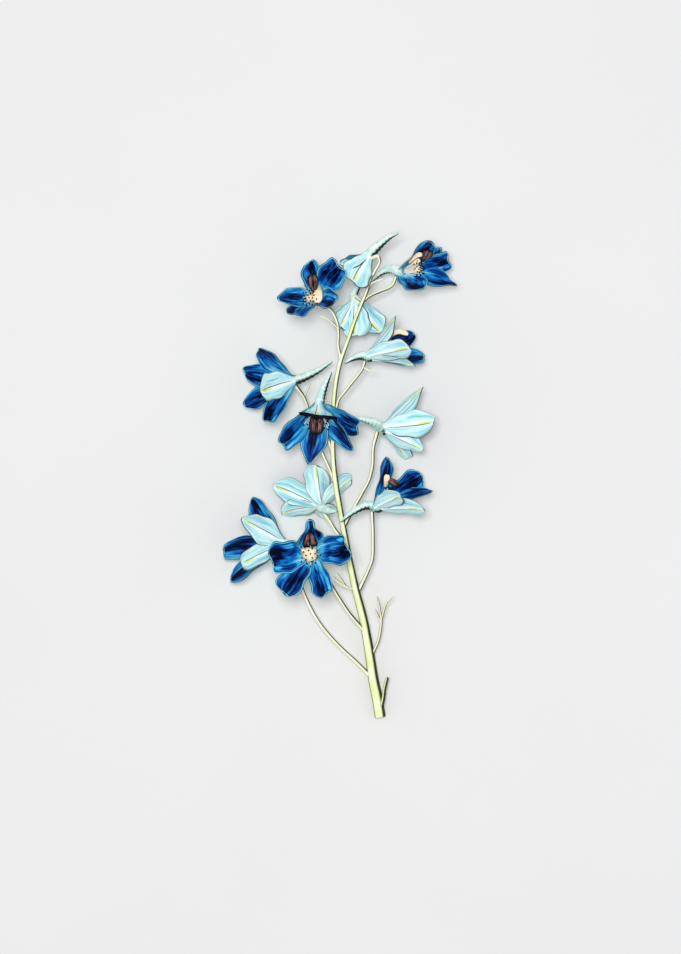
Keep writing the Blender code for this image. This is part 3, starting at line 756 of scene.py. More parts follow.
class NodeSheet:
    """A node tree with short calls that add a node, set its inputs and give its output."""

    def __init__(self, tree: bpy.types.NodeTree) -> None:
        """Keeps the tree that the nodes go to."""
        self.tree = tree

    def put(self, socket: bpy.types.NodeSocket, value: Feed) -> None:
        """Sets an input to a number or a colour, or joins an output to it.

        Args:
            socket: The input.
            value: The number, the colour or the output, or None to leave the input alone.
        """
        if isinstance(value, bpy.types.NodeSocket):
            self.tree.links.new(value, socket)
        elif value is not None:
            socket.default_value = value

    def add(self, kind: str, **settings: object) -> bpy.types.Node:
        """A new node with its own settings.

        Args:
            kind: The node's type.
            **settings: Its own values.

        Returns:
            The node.
        """
        node = self.tree.nodes.new(kind)
        for name, value in settings.items():
            setattr(node, name, value)
        return node

    def maths(
        self, operation: str, first: Feed, second: Feed = None, third: Feed = None,
    ) -> bpy.types.NodeSocket:
        """The result of a sum on numbers or sockets.

        Args:
            operation: The sum's kind.
            first: Its first number.
            second: Its second number, if it has one.
            third: Its third number, if it has one.

        Returns:
            The result.
        """
        node = self.add("ShaderNodeMath", operation=operation)
        for socket, value in zip(node.inputs, (first, second, third)):
            self.put(socket, value)
        return node.outputs[0]

    def times(self, first: Feed, second: Feed) -> bpy.types.NodeSocket:
        """The product of two numbers or sockets."""
        return self.maths("MULTIPLY", first, second)

    def step(self, value: Feed, low: float, high: float) -> bpy.types.NodeSocket:
        """A smooth 0 to 1 step between two values.

        Args:
            value: What is read.
            low: Where the result is 0.
            high: Where the result is 1.

        Returns:
            The step.
        """
        node = self.add("ShaderNodeMapRange", interpolation_type="SMOOTHSTEP")
        self.put(node.inputs["Value"], value)
        node.inputs["From Min"].default_value = low
        node.inputs["From Max"].default_value = high
        return node.outputs["Result"]

    def window(self, value: Feed, start: float, end: float, soft: float) -> bpy.types.NodeSocket:
        """A mask that is 1 between two values, with soft edges.

        Args:
            value: What is read.
            start: Where the mask starts.
            end: Where it ends.
            soft: Half the width of its edges.

        Returns:
            The mask.
        """
        rise = self.step(value, start - soft, start + soft)
        fall = self.step(value, end + soft, end - soft)
        return self.times(rise, fall)

    def mixed(self, share: Feed, first: Feed, second: Feed) -> bpy.types.NodeSocket:
        """A colour between two colours.

        Args:
            share: How much of the second colour there is.
            first: The first colour.
            second: The second colour.

        Returns:
            The colour.
        """
        node = self.add("ShaderNodeMix", data_type="RGBA")
        self.put(node.inputs[0], share)
        self.put(node.inputs[6], first)
        self.put(node.inputs[7], second)
        return node.outputs[2]

    def laid(self, body: Feed, mask: Feed, strength: float, code: str) -> bpy.types.NodeSocket:
        """A colour laid over a body where a mask is.

        Args:
            body: The colour below.
            mask: Where the new colour goes, from 0 to 1.
            strength: How much of it covers the body at most.
            code: The new colour as RRGGBB.

        Returns:
            The body with the colour over it.
        """
        return self.mixed(self.times(mask, strength), body, tint(code))

    def ladder(self, value: Feed, first: str, *rungs: tuple[float, float, str]) -> bpy.types.NodeSocket:
        """A colour that changes by steps as a value rises, each rung a low, a high and a colour.

        Args:
            value: What is read.
            first: The colour below the first rung, as RRGGBB.
            *rungs: For each step, where it starts, where it ends and its colour.

        Returns:
            The colour.
        """
        body = tint(first)
        for low, high, colour in rungs:
            body = self.mixed(self.step(value, low, high), body, tint(colour))
        return body

    def noise(
        self, vector: Feed, scale: float, detail: float = 2.0, rough: float = 0.5,
    ) -> bpy.types.NodeSocket:
        """Smooth noise from 0 to 1.

        Args:
            vector: Where it is read.
            scale: How fine it is.
            detail: How many layers it has.
            rough: How strong its finer layers are.

        Returns:
            The noise.
        """
        node = self.add("ShaderNodeTexNoise")
        self.put(node.inputs["Vector"], vector)
        node.inputs["Scale"].default_value = scale
        node.inputs["Detail"].default_value = detail
        node.inputs["Roughness"].default_value = rough
        return node.outputs["Fac"]

    def joined(self, x: Feed, y: Feed, z: Feed) -> bpy.types.NodeSocket:
        """A vector from three numbers or sockets.

        Args:
            x: Its first part.
            y: Its second part.
            z: Its third part.

        Returns:
            The vector.
        """
        node = self.add("ShaderNodeCombineXYZ")
        for socket, value in zip(node.inputs, (x, y, z)):
            self.put(socket, value)
        return node.outputs[0]

    def attribute(self, name: str) -> bpy.types.NodeSocket:
        """A number that the mesh stores at its points."""
        return self.add("ShaderNodeAttribute", attribute_name=name).outputs["Fac"]

    def blade_places(self) -> tuple[bpy.types.NodeSocket, bpy.types.NodeSocket]:
        """The shares along and across a blade, the latter from -1 to 1, read from its UV map.

        Returns:
            The share along, then the share across.
        """
        places = self.add("ShaderNodeSeparateXYZ")
        self.tree.links.new(self.add("ShaderNodeUVMap", uv_map="UVMap").outputs[0], places.inputs[0])
        across = self.maths("MULTIPLY_ADD", places.outputs[0], 2.0, -1.0)
        return places.outputs[1], across

    def object_places(self) -> bpy.types.NodeSocket:
        """Object coordinates."""
        return self.add("ShaderNodeTexCoord").outputs["Object"]

    def group(self, tree: bpy.types.NodeTree, **values: Feed) -> bpy.types.Node:
        """A node group with values on its named inputs.

        Args:
            tree: The group.
            **values: What its inputs get.

        Returns:
            The group's node.
        """
        node = self.add("ShaderNodeGroup", node_tree=tree)
        for name, value in values.items():
            self.put(node.inputs[name], value)
        return node


def new_group(
    name: str, inputs: Sequence[tuple[str, float | None]], outputs: Sequence[str],
) -> tuple[NodeSheet, bpy.types.NodeOutputs, bpy.types.NodeInputs]:
    """Starts a shader node group.

    Args:
        name: The group's name.
        inputs: Pairs of a socket's name and its default number, or None for a vector.
        outputs: Names of number outputs.

    Returns:
        The node sheet, the sockets that it is given and the sockets that it makes.
    """
    tree = bpy.data.node_groups.new(name, "ShaderNodeTree")
    for socket_name, default in inputs:
        kind = "NodeSocketVector" if default is None else "NodeSocketFloat"
        socket = tree.interface.new_socket(socket_name, in_out="INPUT", socket_type=kind)
        if default is not None:
            socket.default_value = default
    for socket_name in outputs:
        tree.interface.new_socket(socket_name, in_out="OUTPUT", socket_type="NodeSocketFloat")
    sheet = NodeSheet(tree)
    entry = sheet.add("NodeGroupInput")
    leave = sheet.add("NodeGroupOutput")
    return sheet, entry.outputs, leave.inputs


def vein_group() -> bpy.types.NodeTree:
    """Streaks that run out along a petal, with broad patches and a fine height for its bump.

    Inputs are the shares along and across, a seed and how many streaks there are. Outputs are
    Streak, Patch and Height, from 0 to 1.

    Returns:
        The node group.
    """
    sheet, given, made = new_group(
        "petal_veins",
        (("Along", 0.0), ("Across", 0.0), ("Seed", 0.0), ("Count", 6.0)),
        ("Streak", "Patch", "Height"),
    )
    spread = sheet.times(given["Across"], given["Count"])
    drawn_out = sheet.times(given["Along"], 1.5)
    shift = sheet.times(given["Seed"], 7.3)
    fine = sheet.noise(sheet.joined(spread, drawn_out, shift), 1.0, 3.0, 0.62)
    sheet.put(made["Streak"], sheet.step(fine, 0.36, 0.64))
    broad_across = sheet.times(given["Across"], 1.6)
    broad_along = sheet.times(given["Along"], 2.6)
    broad = sheet.noise(sheet.joined(broad_across, broad_along, shift), 1.0)
    sheet.put(made["Patch"], sheet.step(broad, 0.4, 0.62))
    ribs = sheet.maths("SINE", sheet.times(given["Across"], 42.0))
    rib_height = sheet.maths("MULTIPLY_ADD", ribs, 0.22, 0.5)
    sheet.put(made["Height"], sheet.maths("MULTIPLY_ADD", fine, 0.6, rib_height))
    return sheet.tree


def margin_group() -> bpy.types.NodeTree:
    """Bands that follow a petal's edge: a dark ink line, a pale rim and the line inside it.

    Inputs are the distance to the edge, the ink line's and the rim's width in millimetres, and an
    unevenness from 0 to 1. Outputs are the masks Line, Rim and Inner, from 0 to 1.

    Returns:
        The node group.
    """
    sheet, given, made = new_group(
        "petal_margin",
        (("Edge", 1.0), ("Line", 0.2), ("Rim", 0.6), ("Unevenness", 0.5)),
        ("Line", "Rim", "Inner"),
    )
    off_even = sheet.maths("SUBTRACT", given["Unevenness"], 0.5)
    uneven = sheet.maths("MULTIPLY_ADD", off_even, 0.34, given["Edge"])
    sheet.put(made["Line"], sheet.step(sheet.maths("DIVIDE", uneven, given["Line"]), 1.2, 0.8))
    share = sheet.maths("DIVIDE", uneven, given["Rim"])
    sheet.put(made["Rim"], sheet.step(share, 1.2, 0.85))
    sheet.put(made["Inner"], sheet.window(share, 1.0, 1.9, 0.35))
    return sheet.tree


def speckle_group() -> bpy.types.NodeTree:
    """Fine dots, as on a stem's skin. Inputs are a place and the dots' scale, the output is Dots.

    Returns:
        The node group.
    """
    sheet, given, made = new_group("skin_speckle", (("Place", None), ("Scale", 900.0)), ("Dots",))
    cells = sheet.add("ShaderNodeTexVoronoi")
    sheet.put(cells.inputs["Vector"], given["Place"])
    sheet.put(cells.inputs["Scale"], given["Scale"])
    sheet.put(made["Dots"], sheet.step(cells.outputs["Distance"], 0.3, 0.12))
    return sheet.tree


VEINS = vein_group()
MARGIN = margin_group()
SPECKLE = speckle_group()


@dataclass(frozen=True)
class Finish:
    """What every finish has: a name, how rough, how deep in relief, how downy and how glossy it is.

    The relief is in millimetres, and the bump is how strongly it shows.
    """

    name: str
    roughness: float = 0.5
    relief: float = 0.1
    sheen: float = 0.0
    gloss: float = 0.05
    bump: float = 0.6

    def colour(self, sheet: NodeSheet) -> tuple[bpy.types.NodeSocket, bpy.types.NodeSocket]:
        """Adds the nodes of the finish.

        Args:
            sheet: The material's node tree.

        Returns:
            The colour and the height, as sockets.
        """
        raise NotImplementedError

    def build(self) -> bpy.types.Material:
        """Makes the material.

        Returns:
            The material.
        """
        material = bpy.data.materials.new(self.name)
        material.use_nodes = True
        sheet = NodeSheet(material.node_tree)
        shader = material.node_tree.nodes["Principled BSDF"]
        colour, height = self.colour(sheet)
        sheet.put(shader.inputs["Base Color"], colour)
        shader.inputs["Roughness"].default_value = self.roughness
        shader.inputs["Specular IOR Level"].default_value = self.gloss
        shader.inputs["Sheen Weight"].default_value = self.sheen
        bump = sheet.add("ShaderNodeBump")
        bump.inputs["Strength"].default_value = self.bump
        bump.inputs["Distance"].default_value = self.relief * MM
        sheet.put(bump.inputs["Height"], height)
        sheet.put(shader.inputs["Normal"], bump.outputs[0])
        return material


@dataclass(frozen=True)
class SepalInside(Finish):
    """The painted face of a sepal: azure at its root, then royal blue, with navy streaks from its tip."""

    root: str = "9ADCF0"
    bright: str = "48B6E4"
    middle: str = "1272BE"
    deep: str = "073A88"
    dark: str = "010620"
    rim: str = "80D0E6"
    line: str = "04182C"

    def colour(self, sheet: NodeSheet) -> tuple[bpy.types.NodeSocket, bpy.types.NodeSocket]:
        """The blue face's colour and height.

        Args:
            sheet: The material's node tree.

        Returns:
            The colour and the height, as sockets.
        """
        along, across = sheet.blade_places()
        seed = sheet.attribute("seed")
        veins = sheet.group(VEINS, Along=along, Across=across, Seed=seed, Count=4.6)
        streak, patch = veins.outputs["Streak"], veins.outputs["Patch"]
        shift = sheet.maths("MULTIPLY_ADD", seed, 0.8, -0.4)
        off_middle = sheet.maths("ABSOLUTE", sheet.maths("ADD", across, shift))
        blotch = sheet.maths("MULTIPLY_ADD", sheet.step(off_middle, 1.05, 0.25), 0.4, 0.42)
        depth = sheet.times(sheet.step(along, 0.0, 0.8), blotch)
        reach = sheet.times(sheet.step(along, 0.1, 0.6), 0.4)
        depth = sheet.maths("MULTIPLY_ADD", sheet.maths("SUBTRACT", streak, 0.5), reach, depth)
        depth = sheet.maths("MULTIPLY_ADD", sheet.maths("SUBTRACT", patch, 0.5), 0.36, depth)
        body = sheet.ladder(
            depth, self.root, (0.03, 0.16, self.bright), (0.26, 0.5, self.middle),
            (0.48, 0.7, self.deep), (0.67, 0.89, self.dark),
        )
        return self.edged(sheet, body, along, patch, streak), veins.outputs["Height"]

    def edged(
        self, sheet: NodeSheet, body: Feed, along: Feed, patch: Feed, streak: Feed,
    ) -> bpy.types.NodeSocket:
        """Lays the dark inner line, the broken pale rim and the fine outer line over the face.

        Args:
            sheet: The material's node tree.
            body: The colour of the face.
            along: The share along the blade.
            patch: A broad mask that makes the rim uneven.
            streak: A fine mask that breaks it.

        Returns:
            The colour with its margin.
        """
        margin = sheet.group(MARGIN, Edge=sheet.attribute("edge"), Line=0.2, Rim=0.52, Unevenness=patch)
        reach = sheet.step(along, 0.12, 0.4)
        inner = sheet.times(margin.outputs["Inner"], sheet.times(reach, 0.6))
        body = sheet.mixed(inner, body, tint(self.dark))
        broken = sheet.times(sheet.maths("MULTIPLY_ADD", sheet.step(streak, 0.95, 0.4), 0.55, 0.4), reach)
        body = sheet.mixed(sheet.times(margin.outputs["Rim"], broken), body, tint(self.rim))
        return sheet.laid(body, margin.outputs["Line"], 0.85, self.line)


@dataclass(frozen=True)
class SepalOutside(Finish):
    """The back of a sepal: pale aqua with blue streaks, teal margins, a green tipped midrib, a painted groove
    shadow and painted shade on its shaded margin.
    """

    base: str = "D2F6F7"
    streak: str = "78C9DE"
    teal: str = "4FAAB0"
    pale: str = "F8FFFF"
    gland: str = "E4EC9C"
    # ink colours the painted groove shadow beside the midrib and the drawn vein strokes
    ink: str = "051614"
    # edge colours the painted shade band along the shaded margin and the outline, drawn heavier there
    edge: str = "0C2628"

    def colour(self, sheet: NodeSheet) -> tuple[bpy.types.NodeSocket, bpy.types.NodeSocket]:
        """The pale back's colour and height.

        Args:
            sheet: The material's node tree.

        Returns:
            The colour and the height, as sockets.
        """
        along, across = sheet.blade_places()
        veins = sheet.group(VEINS, Along=along, Across=across, Seed=sheet.attribute("seed"), Count=3.4)
        streak, patch = veins.outputs["Streak"], veins.outputs["Patch"]
        aside = sheet.maths("ABSOLUTE", across)
        flank = sheet.times(sheet.window(aside, 0.24, 0.74, 0.18), streak)
        body = sheet.mixed(sheet.times(flank, 0.85), tint(self.base), tint(self.streak))
        border = sheet.times(sheet.step(aside, 0.55, 0.95), patch)
        body = sheet.laid(body, border, 0.7, self.teal)
        body = sheet.laid(body, sheet.step(aside, 0.24, 0.08), 0.85, self.pale)
        tipped = sheet.times(sheet.step(aside, 0.12, 0.06), sheet.window(along, 0.7, 0.97, 0.05))
        body = sheet.mixed(tipped, body, tint(self.gland))
        # Painted groove shadow: a dark line beside the midrib, on one side only
        seam = sheet.times(sheet.window(across, 0.08, 0.145, 0.025), sheet.window(along, 0.16, 0.95, 0.06))
        stroke = sheet.times(sheet.window(aside, 0.46, 0.5, 0.03), sheet.window(along, 0.3, 0.78, 0.1))
        stroke = sheet.times(stroke, sheet.times(sheet.step(streak, 0.3, 0.6), 0.55))
        body = sheet.mixed(sheet.maths("MAXIMUM", sheet.times(seam, 0.92), stroke), body, tint(self.ink))
        edge, shade = sheet.attribute("edge"), sheet.attribute("shade")
        margin = sheet.group(MARGIN, Edge=edge, Line=0.3, Rim=0.7, Unevenness=patch)
        body = sheet.laid(body, margin.outputs["Rim"], 0.4, self.pale)
        # Painted shade: a dark band along the margin on the side that looks to SHADE_SIDE
        painted_shade_band = sheet.times(sheet.step(edge, 1.5, 0.4), sheet.step(shade, 0.5, 0.85))
        body = sheet.laid(body, painted_shade_band, 0.8, self.edge)
        # The outline is darker on the shaded side, as painted shade
        line_share = sheet.maths("MULTIPLY_ADD", sheet.step(shade, -0.3, 0.5), 0.5, 0.44)
        body = sheet.mixed(sheet.times(margin.outputs["Line"], line_share), body, tint(self.edge))
        return body, veins.outputs["Height"]


@dataclass(frozen=True)
class SpurSkin(Finish):
    """The spur: pale mint, with painted shade in its wrinkles' hollows and painted shade, almost black, along
    its shaded side.
    """

    base: str = "BFE6DC"
    pale: str = "E8F7F0"
    # Colours of the painted shade in the hollows and along the shaded side
    groove_shade: str = "4F8579"
    shade: str = "0A1815"

    def colour(self, sheet: NodeSheet) -> tuple[bpy.types.NodeSocket, bpy.types.NodeSocket]:
        """The spur's colour and height.

        Args:
            sheet: The material's node tree.

        Returns:
            The colour and the height, as sockets.
        """
        shade, groove_shade = sheet.attribute("shade"), sheet.attribute("groove_shade")
        blotch = sheet.noise(sheet.object_places(), 420.0, 3.0)
        body = sheet.mixed(sheet.step(blotch, 0.35, 0.65), tint(self.base), tint(self.pale))
        # Painted shade in the hollows between the wrinkles
        body = sheet.laid(body, sheet.step(groove_shade, 0.35, 0.95), 0.85, self.groove_shade)
        # Painted shade along the side that looks to SHADE_SIDE: a half-shade band, then near black, reaching
        # further in the hollows
        uneven = sheet.maths("MULTIPLY_ADD", sheet.maths("SUBTRACT", blotch, 0.5), 0.3, shade)
        uneven = sheet.maths("MULTIPLY_ADD", groove_shade, 0.3, uneven)
        body = sheet.laid(body, sheet.step(uneven, 0.2, 0.48), 0.5, self.groove_shade)
        dark = sheet.times(sheet.step(uneven, 0.5, 0.64), 0.96)
        return sheet.mixed(dark, body, tint(self.shade)), blotch


@dataclass(frozen=True)
class DarkPetal(Finish):
    """The bearded centre, near black with painted highlights along its folds, and in other tints a hood's
    lip.
    """

    base: str = "140B0D"
    # Colour of the painted highlights
    light: str = "A57C78"

    def colour(self, sheet: NodeSheet) -> tuple[bpy.types.NodeSocket, bpy.types.NodeSocket]:
        """The dark petal's colour and height.

        Args:
            sheet: The material's node tree.

        Returns:
            The colour and the height, as sockets.
        """
        along, across = sheet.blade_places()
        veins = sheet.group(VEINS, Along=along, Across=across, Seed=sheet.attribute("seed"), Count=3.2)
        middle = sheet.step(sheet.maths("ABSOLUTE", across), 0.85, 0.35)
        # Painted highlight: streaks along the middle of each lobe
        painted_highlight = sheet.times(sheet.times(middle, sheet.window(along, 0.2, 0.82, 0.14)), veins.outputs["Streak"])
        return sheet.mixed(sheet.times(painted_highlight, 0.9), tint(self.base), tint(self.light)), veins.outputs["Height"]


@dataclass(frozen=True)
class CreamPetal(Finish):
    """The cream upper petals, browner in random blotches, and in other tints the filaments and glands."""

    base: str = "FBE9C6"
    # The browner tone of the random blotches
    fold: str = "CDA772"

    def colour(self, sheet: NodeSheet) -> tuple[bpy.types.NodeSocket, bpy.types.NodeSocket]:
        """The cream petal's colour and height.

        Args:
            sheet: The material's node tree.

        Returns:
            The colour and the height, as sockets.
        """
        blotch = sheet.noise(sheet.object_places(), 600.0, 3.0)
        # Browner in random blotches of noise
        shade = sheet.times(sheet.step(blotch, 0.5, 0.75), 0.55)
        return sheet.mixed(shade, tint(self.base), tint(self.fold)), blotch


@dataclass(frozen=True)
class Anther(Finish):
    """The anthers: near black with a dusty bloom."""

    base: str = "0B0B10"
    dust: str = "34343C"

    def colour(self, sheet: NodeSheet) -> tuple[bpy.types.NodeSocket, bpy.types.NodeSocket]:
        """The anther's colour and height.

        Args:
            sheet: The material's node tree.

        Returns:
            The colour and the height, as sockets.
        """
        dots = sheet.group(SPECKLE, Place=sheet.object_places(), Scale=2600.0).outputs["Dots"]
        return sheet.mixed(sheet.times(dots, 0.7), tint(self.base), tint(self.dust)), dots


@dataclass(frozen=True)
class StemSkin(Finish):
    """A stem's skin: pale yellow green with fine dots, painted shade and a dark line down its shaded side,
    and a thin dark line down the other side.

    The lines start at these shares of how much the skin looks to its side painted in shade and to the other
    side.
    """

    base: str = "E6F0B2"
    pale: str = "F4F7D2"
    # shade is the painted dark line down the shaded side; mid colours the dots, the painted half-shade band
    # and the far line
    shade: str = "070B03"
    mid: str = "7E8A42"
    line_starts: float = 0.54
    far_line_starts: float = 0.7

    def colour(self, sheet: NodeSheet) -> tuple[bpy.types.NodeSocket, bpy.types.NodeSocket]:
        """The stem's colour and height.

        Args:
            sheet: The material's node tree.

        Returns:
            The colour and the height, as sockets.
        """
        places, shade = sheet.object_places(), sheet.attribute("shade")
        blotch = sheet.noise(places, 160.0, 3.0)
        body = sheet.mixed(sheet.step(blotch, 0.35, 0.65), tint(self.base), tint(self.pale))
        dots = sheet.group(SPECKLE, Place=places, Scale=1800.0).outputs["Dots"]
        # The dots grow denser toward the shaded side, as painted shade
        share = sheet.maths("MULTIPLY_ADD", sheet.step(shade, 0.0, 0.6), 0.55, 0.15)
        body = sheet.mixed(sheet.times(dots, share), body, tint(self.mid))
        # Painted shade: a half-shade band, then a near black line, down the side that looks to
        # STEM_SHADE_SIDE
        uneven = sheet.maths("MULTIPLY_ADD", sheet.maths("SUBTRACT", blotch, 0.5), 0.22, shade)
        near = sheet.step(uneven, self.line_starts - 0.24, self.line_starts)
        body = sheet.laid(body, near, 0.55, self.mid)
        dark = sheet.step(uneven, self.line_starts, self.line_starts + 0.09)
        body = sheet.laid(body, dark, 0.93, self.shade)
        # A thin dark line down the other side
        far = sheet.step(shade, -self.far_line_starts, -self.far_line_starts - 0.08)
        return sheet.laid(body, far, 0.85, self.mid), blotch


class Wardrobe:
    """Every finish as a material, built once."""

    def __init__(self) -> None:
        """Builds the materials."""
        self.outside = SepalOutside("sepal_outside", 0.55, 0.12).build()
        self.inside = SepalInside("sepal_inside", 0.42, 0.12).build()
        self.spur = SpurSkin("spur_skin", 0.5, 0.12).build()
        self.dark = DarkPetal("dark_petal", 0.75, 0.15, 0.03).build()
        self.lip = DarkPetal("hood_lip", 0.7, 0.15, 0.02, base="03060E", light="14203C").build()
        self.navy = DarkPetal("navy_petal", 0.7, 0.15, 0.02, base="050A28", light="1A3A8A").build()
        self.cream = CreamPetal("cream_petal", 0.6, 0.06).build()
        self.filament = CreamPetal("filament", 0.6, 0.05, base="FEFCF4", fold="DCD4BC").build()
        self.anther = Anther("anther", 0.6, 0.05).build()
        self.stem = StemSkin("stem_skin", 0.5, 0.06).build()
        self.stalk = StemSkin(
            "stalk_skin", 0.5, 0.04, base="F4F0C8", pale="FCF9E4", shade="1C1C08", mid="86823F",
            line_starts=0.42, far_line_starts=0.64,
        ).build()
        # The leaf stub's painted shade covers more than half its width
        self.stub = StemSkin("stub_skin", 0.5, 0.04, line_starts=-0.1).build()
        self.gland = CreamPetal("sepal_gland", 0.5, 0.05, base="DDEA8C", fold="A7B860").build()


@dataclass
class BloomMaker:
    """What the makers of a bloom's parts share: its form, its number and every finish."""

    bloom: Bloom
    number: int
    wardrobe: Wardrobe

    def __post_init__(self) -> None:
        """Works out the bloom's axes and its name."""
        self.axes = BloomFrame(self.bloom)
        self.name = f"bloom_{self.number:02d}"


@dataclass
class CalyxMaker(BloomMaker):
    """Builds a bloom's five sepals and its spur as one piece, with sizes in millimetres.

    The sepals start on a ring behind the bloom's centre and leave it as a funnel. The edge waves
    and the skew are shares of a sepal's half width.
    """

    ring_radius: float = 2.0
    ring_setback: float = 1.5
    flare: float = 10.0
    thickness: float = 0.34
    cells: tuple[int, int] = (16, 24)
    crowding: float = 1.35
    most_skew: float = 0.12
    edge_wave: float = 0.075
    edge_waves: float = 2.6
    fringe: float = 0.55
    fringe_turn: float = 4.2
    funnel_depth: float = 0.9
    ridge_height: float = 0.3
    ridge_share: float = 0.09
    gland_radii: tuple[float, float] = (0.42, 0.3)
    lip_cells: tuple[int, int] = (48, 4)
    lip_reach: float = 1.7
    lip_overlap: float = 0.3
    lip_thickness: float = 0.4
    wrinkles: float = 14.4
    spur_radii: tuple[float, ...] = (1.4, 2.1, 1.75, 1.2, 0.45)
    spur_stretches: int = 64
    spur_cells: int = 20
    spur_root: float = 0.6

    def sepal(self, index: int, sepal: Sepal) -> bpy.types.Object:
        """One sepal as a thin curved blade with a ridge along its back.

        Args:
            index: Which sepal of the bloom it is.
            sepal: Its form.

        Returns:
            The finished blade, blue inside and pale outside.
        """
        axes, draw = self.axes, random.Random(self.number * 10 + index)
        tip = Vector(sepal.tip)
        rise = tip - axes.centre
        outward = (rise - axes.forward * rise.dot(axes.forward)).normalized()
        ring = axes.centre + axes.back * self.ring_setback + outward * self.ring_radius
        chord = tip - ring
        inner = Matrix.Rotation(math.radians(sepal.roll), 3, rise) @ axes.forward
        normal = (inner - chord * (inner.dot(chord) / chord.length_squared)).normalized()
        side = normal.cross(chord).normalized()
        leave, arrive = axes.forward * self.flare, chord * 0.95 - normal * sepal.reflex * 2
        phases = (draw.random() * math.tau, draw.random() * math.tau)
        skew = draw.uniform(-self.most_skew, self.most_skew)
        edges, shades = [], []

        def place(across: float, along: float) -> Vector:
            """A point of the sepal, for which its distance to the edge and its shade are noted.

            Args:
                across: The share across, from -1 to 1.
                along: The share along, from 0 to 1.

            Returns:
                The point's place in millimetres.
            """
            rest = 1 - along
            spine = (
                ring * (rest * rest * (1 + 2 * along)) + leave * (along * rest * rest)
                + tip * (along * along * (3 - 2 * along)) - arrive * (along * along * rest)
            )
            heading = (
                (tip - ring) * (6 * along * rest) + leave * (rest * (1 - 3 * along))
                - arrive * (along * (2 - 3 * along))
            )
            lift = heading.cross(side).normalized()
            phase = phases[0] if across < 0 else phases[1]
            share = outline_at(sepal.outline, along)
            wave = self.edge_wave * math.sin(math.tau * self.edge_waves * along + phase)
            half = sepal.width / 2 * share * (1 + skew * across + wave * ease(0.2, 0.5, along))
            fringe = self.fringe * math.sin(self.fringe_turn * across * share + phases[1])
            funnel = self.funnel_depth * (1 - ease(0.0, 0.4, along))
            rim = across ** 2 * (sepal.cup * math.sin(math.pi * min(1.0, along * 0.9 + 0.1)) + funnel)
            ripple_phase = math.tau * (1.5 * along + 0.25 * across) + phases[0] * 0.2
            ripple = sepal.wave * abs(across) * math.sin(ripple_phase)
            ridge = self.ridge_height * math.exp(-((across / self.ridge_share) ** 2))
            ridge *= math.sin(math.pi * min(1.0, along * 0.85 + 0.1))
            edges.append(min((1 - abs(across)) * half, rest * chord.length * 0.9))
            shades.append(across * side.dot(SHADE_SIDE))
            flat = spine + side * (across * half) + heading.normalized() * (fringe * ease(0.6, 1.0, along))
            return flat + lift * (rim + ripple - ridge)

        blade = shaped_grid(f"{self.name}_sepal_{index}", self.cells, place, self.crowding)
        paint(blade, "edge", lambda point: edges[point])
        paint(blade, "shade", lambda point: shades[point])
        seed = draw.random()
        paint(blade, "seed", lambda point: seed)
        dressed(blade, self.wardrobe.outside, self.wardrobe.inside)
        walled(blade, self.thickness, material_offset=1, material_offset_rim=1).data.shade_smooth()
        if sepal.outline is Outline.BLUNT:
            return fused(blade.name, [blade, self.lip(f"{blade.name}_lip", place)])
        end = place(0.0, 0.93)
        back = (place(0.0, 0.86) - end).cross(side).normalized()
        return fused(blade.name, [blade, self.gland(f"{blade.name}_gland", end, place(0.0, 0.82), back)])

    def lip(self, name: str, edge_of: Place) -> bpy.types.Object:
        """The dark ruffled lip along a blunt hood's far edge.

        Args:
            name: The object's name.
            edge_of: Gives the hood's own places.

        Returns:
            The lip, a little beyond the hood's edge.
        """
        droop = Vector((self.axes.forward.x, self.axes.forward.y, 0.0)).normalized()

        def place(across: float, along: float) -> Vector:
            """A point of the lip.

            Args:
                across: The share across, from -1 to 1.
                along: The share outward, from 0 to 1.

            Returns:
                The point's place in millimetres.
            """
            edge = edge_of(across, 1.0)
            ruffle = 0.5 * math.sin(11 * across + 1.0) + 0.3 * math.sin(23 * across)
            fold = Vector((0.0, 0.0, 1.0)) * (0.4 * math.sin(21 * across) * along + 0.3)
            return edge + droop * ((self.lip_reach + ruffle) * along - self.lip_overlap) + fold

        piece = dressed(shaped_grid(name, self.lip_cells, place), self.wardrobe.lip)
        paint(piece, "seed", lambda point: 0.4)
        return walled(piece, self.lip_thickness)

    def gland(self, name: str, end: Vector, start: Vector, back: Vector) -> bpy.types.Object:
        """The small green swelling behind a sepal's tip.

        Args:
            name: The object's name.
            end: Its far end, in millimetres.
            start: Its near end.
            back: The way that the sepal's back looks.

        Returns:
            The swelling.
        """
        nub = ball(name, 12, 8)
        run = end - start
        side = run.cross(back).normalized()
        axes = Matrix((side, back, run.normalized())).transposed()
        size = Matrix.Diagonal((*self.gland_radii, run.length * 0.62))
        for vert in nub.data.vertices:
            vert.co = axes @ (size @ vert.co) + (start * 0.45 + end * 0.55 + back * 0.12) * MM
        return dressed(nub, self.wardrobe.gland)

    def spur_line(self) -> list[Vector]:
        """The places that the spur runs through, from inside the bloom to its tip."""
        start = self.axes.at(self.spur_root, 0.0)
        return [start, self.axes.centre, *(Vector(place) for place in self.bloom.spur)]

    def spur(self) -> bpy.types.Object:
        """The long spur, wrinkled across its shaded side, with a blunt tip.

        Returns:
            The finished spur.
        """
        def wrinkle(along: float, shade: float) -> float:
            """How much thicker the spur is on a wrinkle.

            Args:
                along: The share along, from 0 to 1.
                shade: How much the skin looks to the darker side, from 0 to 1.

            Returns:
                A share of the half thickness.
            """
            wave = abs(math.sin(math.pi * self.wrinkles * along + shade * 0.8))
            reach = ease(0.25, 0.45, along) * ease(1.0, 0.92, along)
            return reach * (0.05 + 0.2 * shade) * (wave - 0.5) + 0.1 * reach * shade

